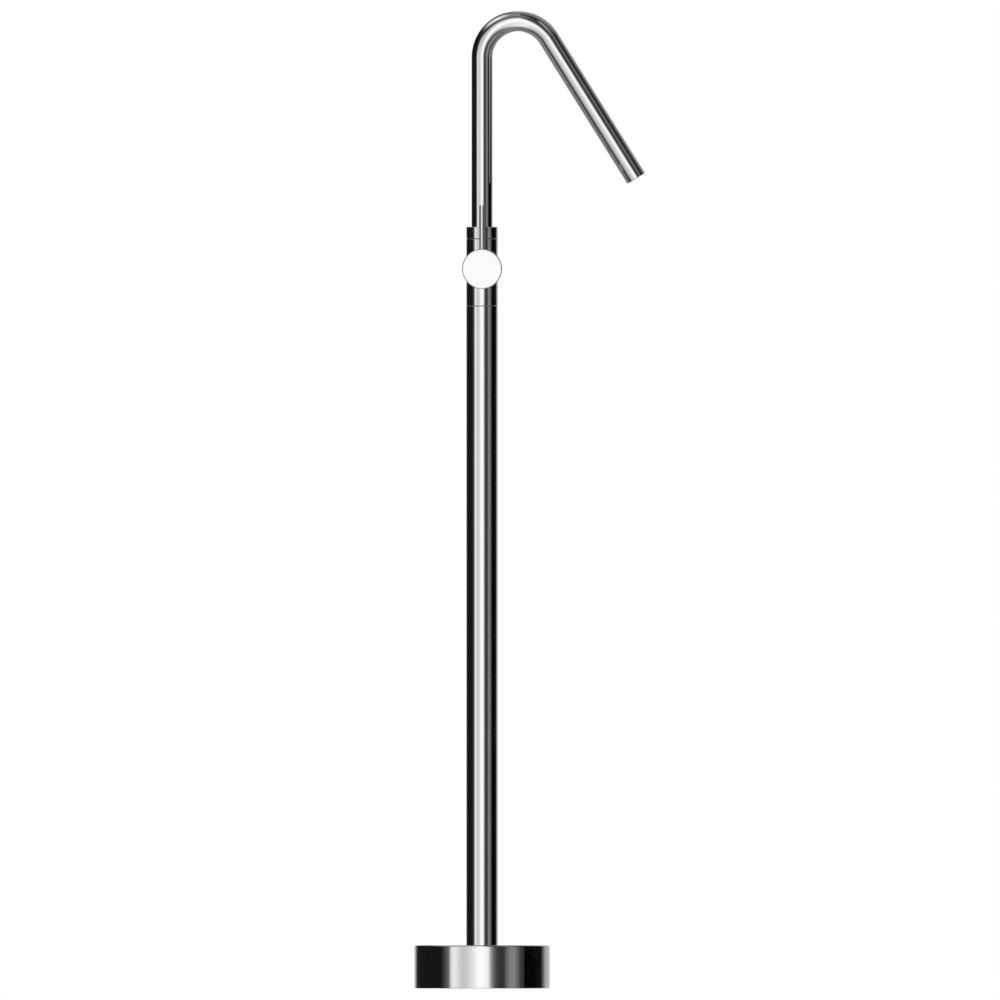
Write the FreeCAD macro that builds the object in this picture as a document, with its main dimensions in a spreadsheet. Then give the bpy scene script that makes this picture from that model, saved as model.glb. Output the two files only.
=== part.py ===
"""Floor standing bath filler: a tubular column on a round floor cover, a swan-neck spout that
swivels on top of it and one lever on a joystick cartridge.

Millimetres, degrees. The origin is on the column's axis at floor level, +Z up. The spout reaches
along +X and the handle faces -Y.
"""
import FreeCAD, Part
import math
import os
import re
import Sketcher

os.makedirs("parts", exist_ok=True)
doc = FreeCAD.newDocument("bath_filler")

# ---------------------------------------------------------------- driving sizes
SIZES = {
    # gaps between pieces that fit one another
    "fit": 0.05,                    # radial gap of a fitted or turning pair
    "swivel_gap": 0.3,              # height of the gap under the spout's collar
    "small_edge": 0.8,              # bevel of hidden turned edges
    "seam_edge": 0.6,               # bevel on both sides of the column's two seams
    # floor plate and its screws
    "plate_radius": 70,
    "plate_thickness": 8,
    "plate_opening_gap": 0.95,      # gap round the inlet block in the plate's opening
    "anchor_circle": 55,            # radius of the circle of floor bolts
    "anchor_hole": 4.5,             # radius of a floor bolt's hole
    # socket that holds the column
    "socket_wall": 5.95,
    "socket_flange_thickness": 8,
    "socket_screw": 3,              # radius of a socket screw
    "socket_screw_head": 5,
    "socket_screw_head_height": 6,
    "socket_screw_key": 2.5,        # half the width of the key in its head
    "socket_screw_room": 1,         # flange left on both sides of a head
    "socket_screw_grip": 6,         # thread length in the plate
    "grub_screw": 3,                # radius of a column grub screw
    "hex_key": 1.6,                 # half the width of the key in the grub screws
    # inlet block
    "block_lip": 4.95,              # flange of the block beyond the column
    "block_flange_thickness": 4,
    "block_drop": 6,                # reach below the plate's top
    "block_web": 3,                 # metal between an inlet thread and its supply tube
    "inlet_spacing": 9.5,           # from the axis to each supply
    "inlet_bore": 7.5,              # radius of the inlet threads
    "inlet_depth": 10,
    # supply tubes and small seals
    "supply_radius": 5,
    "supply_wall": 1,
    "supply_seat": 11,              # how deep each tube end is plugged in
    "waterway": 3.5,
    "seal_section": 0.9,            # half the thickness of a small seal
    "seal_drop": 4,                 # from the mouth of a socket to its seal
    # floor cover
    "cover_radius": 81.6,
    "cover_height": 52,
    "cover_wall": 2,
    "cover_edge": 1.6,              # rounding of the cover's top edge
    "cover_gap": 0.4,               # gap round the column
    "cover_boss": 25,
    "cover_boss_height": 9,
    "cover_clearance": 3,           # height of the gap between the cover's boss and the socket
    "cover_foot_edge": 0.8,         # rounding of the cover's foot
    "cover_seal_section": 1.2,
    "cover_groove_half": 1.8,       # half the height of the seal's groove
    # column and valve body
    "column_radius": 19.05,
    "column_wall": 1.5,
    "column_height": 821,           # floor to lower seam
    "spigot_length": 20,            # valve body inside the column
    "fixing_drop": 10,              # column fixing screw below the lower seam
    "fixing_screw": 2.5,
    "fixing_depth": 6,
    "body_height": 80.7,            # lower seam to upper seam
    "swivel_web": 3.45,             # metal between the spout's socket and the cartridge
    "neck_inset": 0.55,             # the neck is this much thinner than the column
    "neck_wall": 2.45,              # round the cartridge's nut
    "neck_reach": 26.3,             # column axis to the neck's front end
    "seat_reach": 11,               # column axis to the cartridge's seat
    "outlet_setback": 6,            # riser to the spout, behind the column's axis
    "outlet_riser": 4.5,
    # cartridge
    "cartridge_radius": 14,
    "cartridge_wall": 2,
    "cartridge_base_height": 2.5,
    "fixed_disc_height": 3,
    "moving_disc_height": 2.5,
    "moving_disc_radius": 8.2,
    "slide_gap": 0.03,              # water film between the two discs
    "inlet_port": 2.2,
    "inlet_port_side": 5.3,
    "inlet_port_rise": 4.4,
    "outlet_port": 2.8,
    "outlet_port_drop": 2.6,
    "port_seal_section": 0.7,
    "pocket_half_width": 4.6,       # mixing pocket in the moving disc
    "pocket_rise": 1.5,
    "pocket_drop": 5.8,
    "pocket_depth": 1.3,
    "slider_plate": 1.6,
    "slider_half_width": 4.3,
    "slider_height": 5.6,
    "pivot_reach": 30,              # column axis to the lever's pivot
    "pivot_pin": 1.5,
    "ball_arm": 7.6,                # pivot to the ball that drives the slider
    "ball_radius": 2.6,
    "ball_play": 0.15,
    "stem_neck": 1.4,
    "stem_half_width": 3.1,
    "stem_half_height": 3,
    "stem_root": 3.8,               # full section starts this far behind the pivot
    "tilt_limit": 25,               # lever travel from shut to full flow
    "turn_gap": 0.08,               # radial gap round the turning carrier
    "carrier_gap": 0.3,             # between the slider's plate and the carrier
    "carrier_flange_height": 3,
    "throat_radius": 9.7,
    "carrier_reach": 35,
    "housing_shoulder": 26,
    "housing_neck": 11.95,
    "housing_reach": 33,
    "nut_thread_length": 7.7,
    "nut_clearance": 0.3,           # under the nut in the neck's bore
    "nut_reach": 31,
    "cap_sleeve": 1.15,             # wall of the cap's sleeve over the nut's collar
    "cap_wall": 1.5,
    "cap_opening": 12,
    # handle
    "hub_radius": 24,
    "hub_depth": 24,
    "hub_wall": 2.5,
    "hub_rim_offset": 2,            # pivot to the rim's plane
    "hub_edge": 1,
    "hub_boss": 7,
    "hub_boss_height": 5,
    "socket_floor": 1.5,            # metal left in front of the stem
    "pin_setback": 11,              # hub's face to the lever pin's axis
    "pin_radius": 3.3,
    "pin_length": 76.3,             # from the cartridge's axis to the pin's top
    "pin_thread": 2.5,
    "pin_pad": 4.5,
    "pin_pad_depth": 5,
    "pin_seat": 0.5,                # depth of the flat that the pin stands on
    "pin_edge": 0.4,
    "handle_screw": 2,
    # spout
    "spout_radius": 12.7,
    "spout_wall": 1.5,
    "collar_height": 14.1,          # upper seam to the collar's top
    "collar_edge": 0.4,
    "swivel_radius": 13,
    "swivel_depth": 18.7,
    "swivel_bore": 8.5,
    "swivel_end_gap": 0.5,
    "swivel_limit": 60,             # swivel to each side
    "tube_seat": 3,                 # upper seam to the tube's lower end
    "insert_length": 13,            # spigot inside the tube
    "bearing_wall": 2.05,           # valve body left round the bearing ring
    "bearing_recess": 1,
    "stop_drop": 6.2,               # stop screw below the upper seam
    "stop_screw": 2.5,
    "stop_point": 1.8,
    "stop_groove_depth": 2,
    "stop_groove_half": 2.3,
    "stop_angle": 10,               # half the angle that the stop's point takes up
    "upper_seal_drop": 11,
    "lower_seal_drop": 15,
    "spout_rise": 218.3,            # upper seam to where the bend starts
    "bend_radius": 43.3,
    "spout_slant": 32,              # from the vertical
    "spout_fall": 199,              # straight leg from the bend to the tip
    "tip_rim": 1.2,
    "tip_edge": 0.3,
    "aerator_length": 12,
    "aerator_bore": 9.6,
    "aerator_lip": 0.8,
    "strainer_height": 3,
    "strainer_hole": 0.8,
    "strainer_pitch": 2.9,
    "washer_height": 1.5,
}

sizes = doc.addObject("Spreadsheet::Sheet", "sizes")
for row, (alias, number) in enumerate(SIZES.items(), start=1):
    sizes.set(f"A{row}", str(number))
    sizes.setAlias(f"A{row}", alias)
doc.recompute()


# ---------------------------------------------------------------- helpers
def named(text):
    """Put the sheet's name before each alias of an expression."""
    return re.sub(r"[a-z]\w*", lambda word: "sizes." * (word[0] in SIZES) + word[0], text)


def value(text):
    """The number that an expression stands for."""
    return float(sizes.evalExpression(named(text)))


def plane(body, role):
    """One of a body's own origin planes or axes."""
    return next(item for item in body.Origin.OriginFeatures if item.Role == role)


def new_body(label):
    """An empty sub-part; its label names its file."""
    body = doc.addObject("PartDesign::Body", label)
    body.Label = label
    return body


def place(body, along_x="0", along_y="0", along_z="0"):
    """Put a body's origin at a point given by expressions."""
    body.setExpression("Placement.Base.x", named(along_x))
    body.setExpression("Placement.Base.y", named(along_y))
    body.setExpression("Placement.Base.z", named(along_z))


def lay_forward(body):
    """Lay a body along the cartridge: its own Z is the distance from the column's axis towards the
    user, its own Y is up and its origin is on the column's axis at the handle's height."""
    body.Placement.Rotation = FreeCAD.Rotation(FreeCAD.Vector(1, 0, 0), 90)
    place(body, along_z=HANDLE_AXIS)


def new_sketch(body, role, lift="0"):
    """An empty sketch on one of the body's planes, lifted along that plane's normal."""
    sketch = body.newObject("Sketcher::SketchObject", body.Name + "_sketch")
    sketch.AttachmentSupport = [(plane(body, role), "")]
    sketch.MapMode = "FlatFace"
    sketch.setExpression("AttachmentOffset.Base.z", named(lift))
    return sketch


def tie(sketch, kind, *items):
    """Add a dimension whose last item is an expression, and bind it to the sheet."""
    index = sketch.addConstraint(Sketcher.Constraint(kind, *items[:-1], value(items[-1])))
    sketch.setExpression(f"Constraints[{index}]", named(items[-1]))


def tie_point(sketch, edge, end, across=None, up=None):
    """Dimension one end of an edge from the sketch's origin."""
    if across is not None:
        tie(sketch, "DistanceX", -1, 1, edge, end, across)
    if up is not None:
        tie(sketch, "DistanceY", -1, 1, edge, end, up)


def draw_outline(sketch, corners):
    """A closed outline of straight edges through corners given as pairs of expressions."""
    points = [FreeCAD.Vector(value(across), value(up), 0) for across, up in corners]
    for start, end in zip(points, points[1:] + points[:1]):
        sketch.addGeometry(Part.LineSegment(start, end))
    for edge, (across, up) in enumerate(corners):
        before = (edge - 1) % len(corners)
        sketch.addConstraint(Sketcher.Constraint("Coincident", before, 2, edge, 1))
        tie_point(sketch, edge, 1, across, up)


def draw_box(sketch, left, right, low, high):
    """A rectangle between two pairs of expressions."""
    draw_outline(sketch, [(left, low), (right, low), (right, high), (left, high)])


def draw_circle(sketch, across, up, radius):
    """A circle whose centre and radius are expressions."""
    centre = FreeCAD.Vector(value(across), value(up), 0)
    edge = sketch.addGeometry(Part.Circle(centre, FreeCAD.Vector(0, 0, 1), value(radius)))
    tie_point(sketch, edge, 3, across, up)
    tie(sketch, "Radius", edge, radius)


def draw_hexagon(sketch, across, up, half_width):
    """A regular hexagon with two flat sides level."""
    corner = f"({half_width}) / cos(30)"
    turns = [60 * step for step in range(6)]
    draw_outline(sketch, [(f"({across}) + {corner} * cos({turn})", f"({up}) + {corner} * sin({turn})")
                          for turn in turns])


def turn(body, corners):
    """Add a solid of revolution about the body's Z: corners are (radius, height)."""
    sketch = new_sketch(body, "XZ_Plane")
    draw_outline(sketch, corners)
    feature = body.newObject("PartDesign::Revolution", body.Name + "_turned")
    feature.Profile = sketch
    feature.ReferenceAxis = (plane(body, "Z_Axis"), [""])
    doc.recompute()
    return feature


def turned(label, corners):
    """A new sub-part turned about its Z."""
    body = new_body(label)
    turn(body, corners)
    return body


def pad(body, sketch, length, back=False):
    """Raise a sketch along its plane's normal, or against it."""
    feature = body.newObject("PartDesign::Pad", body.Name + "_pad")
    feature.Profile = sketch
    feature.setExpression("Length", named(length))
    feature.Reversed = back
    doc.recompute()
    return feature


def cut(body, sketch, depth, ahead=False):
    """Cut a sketch into the solid against its plane's normal or, ahead, along it."""
    before = body.Shape.Volume
    feature = body.newObject("PartDesign::Pocket", body.Name + "_pocket")
    feature.Profile = sketch
    feature.setExpression("Length", named(depth))
    feature.Reversed = ahead
    doc.recompute()
    if body.Shape.Volume >= before:
        raise ValueError(f"a pocket of {body.Label} cuts nothing")
    return feature


def drill(body, role, across, up, radius, depth, lift="0", ahead=False):
    """A round hole that starts on a lifted plane."""
    sketch = new_sketch(body, role, lift)
    draw_circle(sketch, across, up, radius)
    return cut(body, sketch, depth, ahead)


def rod(body, role, across, up, radius, length, lift="0", back=False):
    """A round bar that starts on a lifted plane."""
    sketch = new_sketch(body, role, lift)
    draw_circle(sketch, across, up, radius)
    return pad(body, sketch, length, back)


def ring(body, radius, section, height, across="0", up="0"):
    """A round seal about an axis parallel to the body's Z, squeezed to an eight-sided section."""
    sketch = new_sketch(body, "XZ_Plane", f"-({up})")
    sketch.setExpression("AttachmentOffset.Base.x", named(across))
    sketch.setExpression("AttachmentOffset.Base.y", named(height))
    corner = f"({section}) / cos(22.5)"
    draw_outline(sketch, [(f"({radius}) + {corner} * cos({turn})", f"{corner} * sin({turn})")
                          for turn in (22.5 + 45 * step for step in range(8))])
    feature = body.newObject("PartDesign::Revolution", body.Name + "_ring")
    feature.Profile = sketch
    feature.ReferenceAxis = (sketch, ["V_Axis"])
    doc.recompute()


def ball(body, kind, radius, height, lowest=-90):
    """A sphere on the body's Z, or its part above a latitude: kind is Additive or Subtractive."""
    feature = body.newObject(f"PartDesign::{kind}Sphere", body.Name + "_ball")
    feature.AttachmentSupport = [(plane(body, "XY_Plane"), "")]
    feature.MapMode = "FlatFace"
    feature.setExpression("Radius", named(radius))
    feature.setExpression("AttachmentOffset.Base.z", named(height))
    feature.Angle1 = lowest
    doc.recompute()


def around(body, features, count):
    """Repeat features evenly about the body's Z."""
    pattern = body.newObject("PartDesign::PolarPattern", body.Name + "_around")
    pattern.Originals = features
    pattern.Axis = (plane(body, "Z_Axis"), [""])
    pattern.Angle = 360
    pattern.Occurrences = count
    body.Tip = pattern
    doc.recompute()


def round_edge(body, radius, edge_radius, edge_height):
    """Round the turned edge that lies at a radius and a height."""
    solid = body.Tip
    names = []
    for number, edge in enumerate(solid.Shape.Edges, start=1):
        curve = edge.Curve
        if isinstance(curve, Part.Circle) and abs(curve.Radius - value(edge_radius)) < 1e-4:
            if abs(curve.Center.z - value(edge_height)) < 1e-4:
                names.append(f"Edge{number}")
    feature = body.newObject("PartDesign::Fillet", body.Name + "_round")
    feature.Base = (solid, names)
    feature.setExpression("Radius", named(radius))
    doc.recompute()


# ---------------------------------------------------------------- levels that pieces share
BODY_TOP = "(column_height + body_height)"
HANDLE_DROP = "(swivel_depth + swivel_web + cartridge_radius + fit)"
HANDLE_AXIS = f"({BODY_TOP} - {HANDLE_DROP})"
COLUMN_BORE = "(column_radius - column_wall)"
PLATE_OPENING = "(column_radius + plate_opening_gap)"
SOCKET_BORE = "(column_radius + fit)"
SOCKET_RADIUS = "(column_radius + socket_wall)"
SOCKET_HEIGHT = "(cover_height - cover_boss_height - cover_clearance - plate_thickness)"
SCREW_CIRCLE = f"({SOCKET_RADIUS} + socket_screw_head + socket_screw_room)"
SOCKET_FLANGE = f"({SCREW_CIRCLE} + socket_screw_head + socket_screw_room)"
SCREW_SIDE = f"({SCREW_CIRCLE} * cos(45))"
BLOCK_FLANGE = "(column_radius + block_lip)"
BLOCK_RISE = "(supply_seat + block_web + inlet_depth - block_drop)"
BLOCK_TOP = f"(plate_thickness + {BLOCK_RISE})"
SPIGOT_RADIUS = "(column_radius - column_wall - fit)"
SUPPLY_BORE = "(supply_radius + fit)"
SEAL_GROOVE_DEPTH = "(2 * seal_section + fit)"
SEAL_GROOVE_WIDTH = "(3 * seal_section)"
BASE_TOP = "(seat_reach + cartridge_base_height)"
FIXED_TOP = "(seat_reach + cartridge_base_height + fixed_disc_height)"
MOVING_BOTTOM = f"({FIXED_TOP} + slide_gap)"
MOVING_TOP = f"({FIXED_TOP} + slide_gap + moving_disc_height)"
CARRIER_BOTTOM = f"({MOVING_TOP} + slider_plate + carrier_gap)"
CARRIER_SHOULDER = f"({CARRIER_BOTTOM} + carrier_flange_height)"
SLIDER_TOP = f"({MOVING_TOP} + slider_height)"
BALL_REACH = "(pivot_reach - ball_arm)"
SLIDER_STROKE = "(ball_arm * sin(tilt_limit))"
HOUSING_BORE = "(cartridge_radius - cartridge_wall)"
NECK_RADIUS = "(column_radius - neck_inset)"
NUT_BORE = f"({NECK_RADIUS} - neck_wall)"
NUT_COLLAR = f"({NECK_RADIUS} - cap_sleeve - fit)"
HUB_RIM = "(pivot_reach + hub_rim_offset)"
HUB_FACE = "(pivot_reach + hub_rim_offset + hub_depth)"
HUB_FLOOR = "(pivot_reach + hub_rim_offset + hub_depth - hub_wall)"
HUB_BOSS_BACK = f"({HUB_FLOOR} - hub_boss_height)"
STEM_END = f"({HUB_FACE} - socket_floor)"
PIN_REACH = f"({HUB_FACE} - pin_setback)"
SPOUT_BORE = "(spout_radius - spout_wall)"
SWIVEL_BOTTOM = "(swivel_end_gap - swivel_depth)"
BEARING_RADIUS = "(column_radius - bearing_wall)"
SIDES = {"hot": "-", "cold": ""}

# ---------------------------------------------------------------- floor plate
plate = turned("floor_plate", [
    (PLATE_OPENING, "0"),
    ("plate_radius", "0"),
    ("plate_radius", "plate_thickness - small_edge"),
    ("plate_radius - small_edge", "plate_thickness"),
    (PLATE_OPENING, "plate_thickness")])
anchor = drill(plate, "XY_Plane", "anchor_circle", "0", "anchor_hole", "plate_thickness", "plate_thickness")
around(plate, [anchor], 4)
tapped = drill(plate, "XY_Plane", SCREW_SIDE, SCREW_SIDE, "socket_screw",
               "socket_screw_grip + small_edge", "plate_thickness")
around(plate, [tapped], 4)

# ---------------------------------------------------------------- column socket and its screws
# its grub screws meet the column half-way between the block's top and the socket's
GRUB_LEVEL = f"(({BLOCK_RISE} + {SOCKET_HEIGHT}) / 2)"
socket = turned("column_socket", [
    (f"{BLOCK_FLANGE} + fit", "0"),
    (SOCKET_FLANGE, "0"),
    (SOCKET_FLANGE, "socket_flange_thickness - small_edge"),
    (f"{SOCKET_FLANGE} - small_edge", "socket_flange_thickness"),
    (SOCKET_RADIUS, "socket_flange_thickness"),
    (SOCKET_RADIUS, f"{SOCKET_HEIGHT} - small_edge"),
    (f"{SOCKET_RADIUS} - small_edge", SOCKET_HEIGHT),
    (SOCKET_BORE, SOCKET_HEIGHT),
    (SOCKET_BORE, "block_flange_thickness"),
    (f"{BLOCK_FLANGE} + fit", "block_flange_thickness")])
place(socket, along_z="plate_thickness")
screw_way = drill(socket, "XY_Plane", SCREW_SIDE, SCREW_SIDE, "socket_screw + 2 * fit",
                  "socket_flange_thickness", "socket_flange_thickness")
around(socket, [screw_way], 4)
grub_hole = drill(socket, "YZ_Plane", "0", GRUB_LEVEL, "grub_screw", "socket_wall + grub_screw",
                  SOCKET_RADIUS)
around(socket, [grub_hole], 3)

screws = new_body("socket_screws")
place(screws, along_z="plate_thickness + socket_flange_thickness")
head = rod(screws, "XY_Plane", SCREW_SIDE, SCREW_SIDE, "socket_screw_head", "socket_screw_head_height")
shank = rod(screws, "XY_Plane", SCREW_SIDE, SCREW_SIDE, "socket_screw - fit",
            "socket_flange_thickness + socket_screw_grip", back=True)
recess_sketch = new_sketch(screws, "XY_Plane", "socket_screw_head_height")
draw_hexagon(recess_sketch, SCREW_SIDE, SCREW_SIDE, "socket_screw_key")
recess = cut(screws, recess_sketch, "socket_screw_head_height / 2")
around(screws, [head, shank, recess], 4)

grubs = new_body("column_grub_screws")
place(grubs, along_z=f"plate_thickness + {GRUB_LEVEL}")
grub = rod(grubs, "YZ_Plane", "0", "0", "grub_screw - fit", "socket_wall - fit", "column_radius + fit")
key_sketch = new_sketch(grubs, "YZ_Plane", SOCKET_RADIUS)
draw_hexagon(key_sketch, "0", "0", "hex_key")
key = cut(grubs, key_sketch, "grub_screw")
around(grubs, [grub, key], 3)

# ---------------------------------------------------------------- inlet block
block = turned("inlet_block", [
    ("0", "-block_drop"),
    ("column_radius", "-block_drop"),
    ("column_radius", "0"),
    (BLOCK_FLANGE, "0"),
    (BLOCK_FLANGE, "block_flange_thickness - fit"),
    ("column_radius", "block_flange_thickness - fit"),
    ("column_radius", BLOCK_RISE),
    ("0", BLOCK_RISE)])
place(block, along_z="plate_thickness")
for side in SIDES.values():
    across = side + "inlet_spacing"
    drill(block, "XY_Plane", across, "0", "inlet_bore", "inlet_depth", "-block_drop", ahead=True)
    drill(block, "XY_Plane", across, "0", SUPPLY_BORE, "supply_seat", BLOCK_RISE)
    drill(block, "XY_Plane", across, "0", f"{SUPPLY_BORE} + {SEAL_GROOVE_DEPTH} - fit", SEAL_GROOVE_WIDTH,
          f"{BLOCK_RISE} - seal_drop + {SEAL_GROOVE_WIDTH} / 2")
    drill(block, "XY_Plane", across, "0", "waterway", "supply_seat + block_web", BLOCK_RISE)

# ---------------------------------------------------------------- supply tubes and their seals
SUPPLY_FOOT = f"({BLOCK_TOP} - supply_seat)"
SUPPLY_LENGTH = f"(column_height - spigot_length + supply_seat - {SUPPLY_FOOT} - fit)"
for supply, side in SIDES.items():
    tube = turned(supply + "_supply_tube", [
        ("supply_radius - supply_wall", "0"),
        ("supply_radius", "0"),
        ("supply_radius", SUPPLY_LENGTH),
        ("supply_radius - supply_wall", SUPPLY_LENGTH)])
    place(tube, along_x=side + "inlet_spacing", along_z=SUPPLY_FOOT)

supply_seals = new_body("supply_tube_seals")
for side in SIDES.values():
    for level in (f"{BLOCK_TOP} - seal_drop", "column_height - spigot_length + seal_drop"):
        ring(supply_seals, "supply_radius + seal_section + fit / 2", "seal_section", level,
             side + "inlet_spacing")

# ---------------------------------------------------------------- floor cover
COVER_HOLE = "(column_radius + cover_gap)"
COVER_SEAL_LEVEL = "(cover_height - cover_boss_height / 2)"
COVER_GROOVE = "(column_radius + 2 * cover_seal_section + 2 * fit)"
cover = turned("base_cover", [
    ("cover_radius - cover_wall", "0"),
    ("cover_radius", "0"),
    ("cover_radius", "cover_height"),
    (COVER_HOLE, "cover_height"),
    (COVER_HOLE, f"{COVER_SEAL_LEVEL} + cover_groove_half"),
    (COVER_GROOVE, f"{COVER_SEAL_LEVEL} + cover_groove_half"),
    (COVER_GROOVE, f"{COVER_SEAL_LEVEL} - cover_groove_half"),
    (COVER_HOLE, f"{COVER_SEAL_LEVEL} - cover_groove_half"),
    (COVER_HOLE, "cover_height - cover_boss_height"),
    ("cover_boss", "cover_height - cover_boss_height"),
    ("cover_boss", "cover_height - cover_wall"),
    ("cover_radius - cover_wall", "cover_height - cover_wall")])
round_edge(cover, "cover_edge", "cover_radius", "cover_height")
round_edge(cover, "cover_foot_edge", "cover_radius", "0")

cover_seal = new_body("base_cover_seal")
ring(cover_seal, "column_radius + cover_seal_section + fit", "cover_seal_section", COVER_SEAL_LEVEL)

# ---------------------------------------------------------------- column
COLUMN_LENGTH = f"(column_height - {BLOCK_TOP})"
column = turned("column_tube", [
    (COLUMN_BORE, "0"),
    ("column_radius", "0"),
    ("column_radius", f"{COLUMN_LENGTH} - seam_edge"),
    ("column_radius - seam_edge", COLUMN_LENGTH),
    (COLUMN_BORE, COLUMN_LENGTH)])
place(column, along_z=BLOCK_TOP)
drill(column, "XZ_Plane", "0", f"{COLUMN_LENGTH} - fixing_drop", "fixing_screw + fit", "2 * column_wall",
      "-column_radius", ahead=True)

# ---------------------------------------------------------------- valve body
# Its own Z starts at the lower end of the spigot that is plugged into the column.
BODY_END = "(spigot_length + body_height)"
CARTRIDGE_LEVEL = f"({BODY_END} - {HANDLE_DROP})"
INLET_LEVEL = f"({CARTRIDGE_LEVEL} + inlet_port_rise)"
OUTLET_LEVEL = f"({CARTRIDGE_LEVEL} - outlet_port_drop)"
SPIGOT_GROOVE = f"({SPIGOT_RADIUS} - {SEAL_GROOVE_DEPTH})"
SPIGOT_SEAL_LEVEL = "(spigot_length - seal_drop)"
valve = turned("valve_body", [
    ("0", "0"),
    (f"{SPIGOT_RADIUS} - small_edge", "0"),
    (SPIGOT_RADIUS, "small_edge"),
    (SPIGOT_RADIUS, f"{SPIGOT_SEAL_LEVEL} - {SEAL_GROOVE_WIDTH} / 2"),
    (SPIGOT_GROOVE, f"{SPIGOT_SEAL_LEVEL} - {SEAL_GROOVE_WIDTH} / 2"),
    (SPIGOT_GROOVE, f"{SPIGOT_SEAL_LEVEL} + {SEAL_GROOVE_WIDTH} / 2"),
    (SPIGOT_RADIUS, f"{SPIGOT_SEAL_LEVEL} + {SEAL_GROOVE_WIDTH} / 2"),
    (SPIGOT_RADIUS, "spigot_length"),
    ("column_radius - seam_edge", "spigot_length"),
    ("column_radius", "spigot_length + seam_edge"),
    ("column_radius", f"{BODY_END} - seam_edge"),
    ("column_radius - seam_edge", BODY_END),
    ("0", BODY_END)])
place(valve, along_z="column_height - spigot_length")
# the neck, then the seat of the cartridge and the bore of its nut
rod(valve, "XZ_Plane", "0", CARTRIDGE_LEVEL, NECK_RADIUS, "neck_reach")
drill(valve, "XZ_Plane", "0", CARTRIDGE_LEVEL, "cartridge_radius + fit",
      "neck_reach - seat_reach", "neck_reach")
drill(valve, "XZ_Plane", "0", CARTRIDGE_LEVEL, NUT_BORE, "nut_thread_length + nut_clearance", "neck_reach")
# the socket in which the spout swivels, with the seat of its bearing ring
drill(valve, "XY_Plane", "0", "0", f"{BEARING_RADIUS} + fit", "bearing_recess", BODY_END)
drill(valve, "XY_Plane", "0", "0", "swivel_radius + fit", "swivel_depth", BODY_END)
# waterways: up from both supply tubes and forward to the seat, back from the seat and up to the spout
for side in SIDES.values():
    across = side + "inlet_spacing"
    drill(valve, "XY_Plane", across, "0", SUPPLY_BORE, "supply_seat", ahead=True)
    drill(valve, "XY_Plane", across, "0", f"{SUPPLY_BORE} + {SEAL_GROOVE_DEPTH} - fit", SEAL_GROOVE_WIDTH,
          f"seal_drop - {SEAL_GROOVE_WIDTH} / 2", ahead=True)
    drill(valve, "XY_Plane", across, "0", "waterway", f"{INLET_LEVEL} + inlet_port + small_edge", ahead=True)
    drill(valve, "XZ_Plane", side + "inlet_port_side", INLET_LEVEL, "inlet_port", "seat_reach", "seat_reach")
drill(valve, "XZ_Plane", "0", OUTLET_LEVEL, "outlet_port", "seat_reach + outlet_setback", "seat_reach")
drill(valve, "XY_Plane", "0", "outlet_setback", "outlet_riser", f"{BODY_END} - swivel_depth - {OUTLET_LEVEL}",
      OUTLET_LEVEL, ahead=True)
# tapped from behind: the fixing screw of the column and the stop screw of the spout
drill(valve, "XZ_Plane", "0", "spigot_length - fixing_drop", "fixing_screw",
      "column_wall + fixing_depth", "-column_radius", ahead=True)
drill(valve, "XZ_Plane", "0", f"{BODY_END} - stop_drop", "stop_screw",
      "column_radius - swivel_radius + small_edge", "-column_radius", ahead=True)

spigot_seal = new_body("valve_body_seal")
ring(spigot_seal, f"{COLUMN_BORE} - seal_section - fit / 2", "seal_section", "column_height - seal_drop")

fixing = new_body("column_fixing_screw")
place(fixing, along_z="column_height - fixing_drop")
rod(fixing, "XZ_Plane", "0", "0", "fixing_screw - fit", "column_wall + fixing_depth - small_edge - fit",
    "small_edge - column_radius")
fixing_key = new_sketch(fixing, "XZ_Plane", "small_edge - column_radius")
draw_hexagon(fixing_key, "0", "0", "hex_key")
cut(fixing, fixing_key, "fixing_screw", ahead=True)

# ---------------------------------------------------------------- cartridge, fixed pieces
port_seals = new_body("cartridge_port_seals")
lay_forward(port_seals)
INLET_SEAL = "(inlet_port + port_seal_section + 4 * fit)"
OUTLET_SEAL = "(outlet_port + port_seal_section + 4 * fit)"
for side in SIDES.values():
    ring(port_seals, INLET_SEAL, "port_seal_section", "seat_reach + port_seal_section + fit",
         side + "inlet_port_side", "inlet_port_rise")
ring(port_seals, OUTLET_SEAL, "port_seal_section", "seat_reach + port_seal_section + fit",
     "0", "-outlet_port_drop")


def drill_ports(body, start, depth):
    """The two inlets and the outlet, through a disc that lies on the cartridge's axis."""
    for side in SIDES.values():
        drill(body, "XY_Plane", side + "inlet_port_side", "inlet_port_rise", "inlet_port", depth, start)
    drill(body, "XY_Plane", "0", "-outlet_port_drop", "outlet_port", depth, start)


base = turned("cartridge_base", [
    ("0", "seat_reach"),
    ("cartridge_radius", "seat_reach"),
    ("cartridge_radius", BASE_TOP),
    ("0", BASE_TOP)])
lay_forward(base)
drill_ports(base, BASE_TOP, "cartridge_base_height")
SEAL_RECESS = "(2 * port_seal_section + 2 * fit)"
for side in SIDES.values():
    drill(base, "XY_Plane", side + "inlet_port_side", "inlet_port_rise",
          f"{INLET_SEAL} + port_seal_section + fit", SEAL_RECESS, "seat_reach", ahead=True)
drill(base, "XY_Plane", "0", "-outlet_port_drop", f"{OUTLET_SEAL} + port_seal_section + fit",
      SEAL_RECESS, "seat_reach", ahead=True)

fixed_disc = turned("fixed_ceramic_disc", [
    ("0", BASE_TOP),
    (f"{HOUSING_BORE} - fit", BASE_TOP),
    (f"{HOUSING_BORE} - fit", FIXED_TOP),
    ("0", FIXED_TOP)])
lay_forward(fixed_disc)
drill_ports(fixed_disc, FIXED_TOP, "fixed_disc_height")

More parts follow.
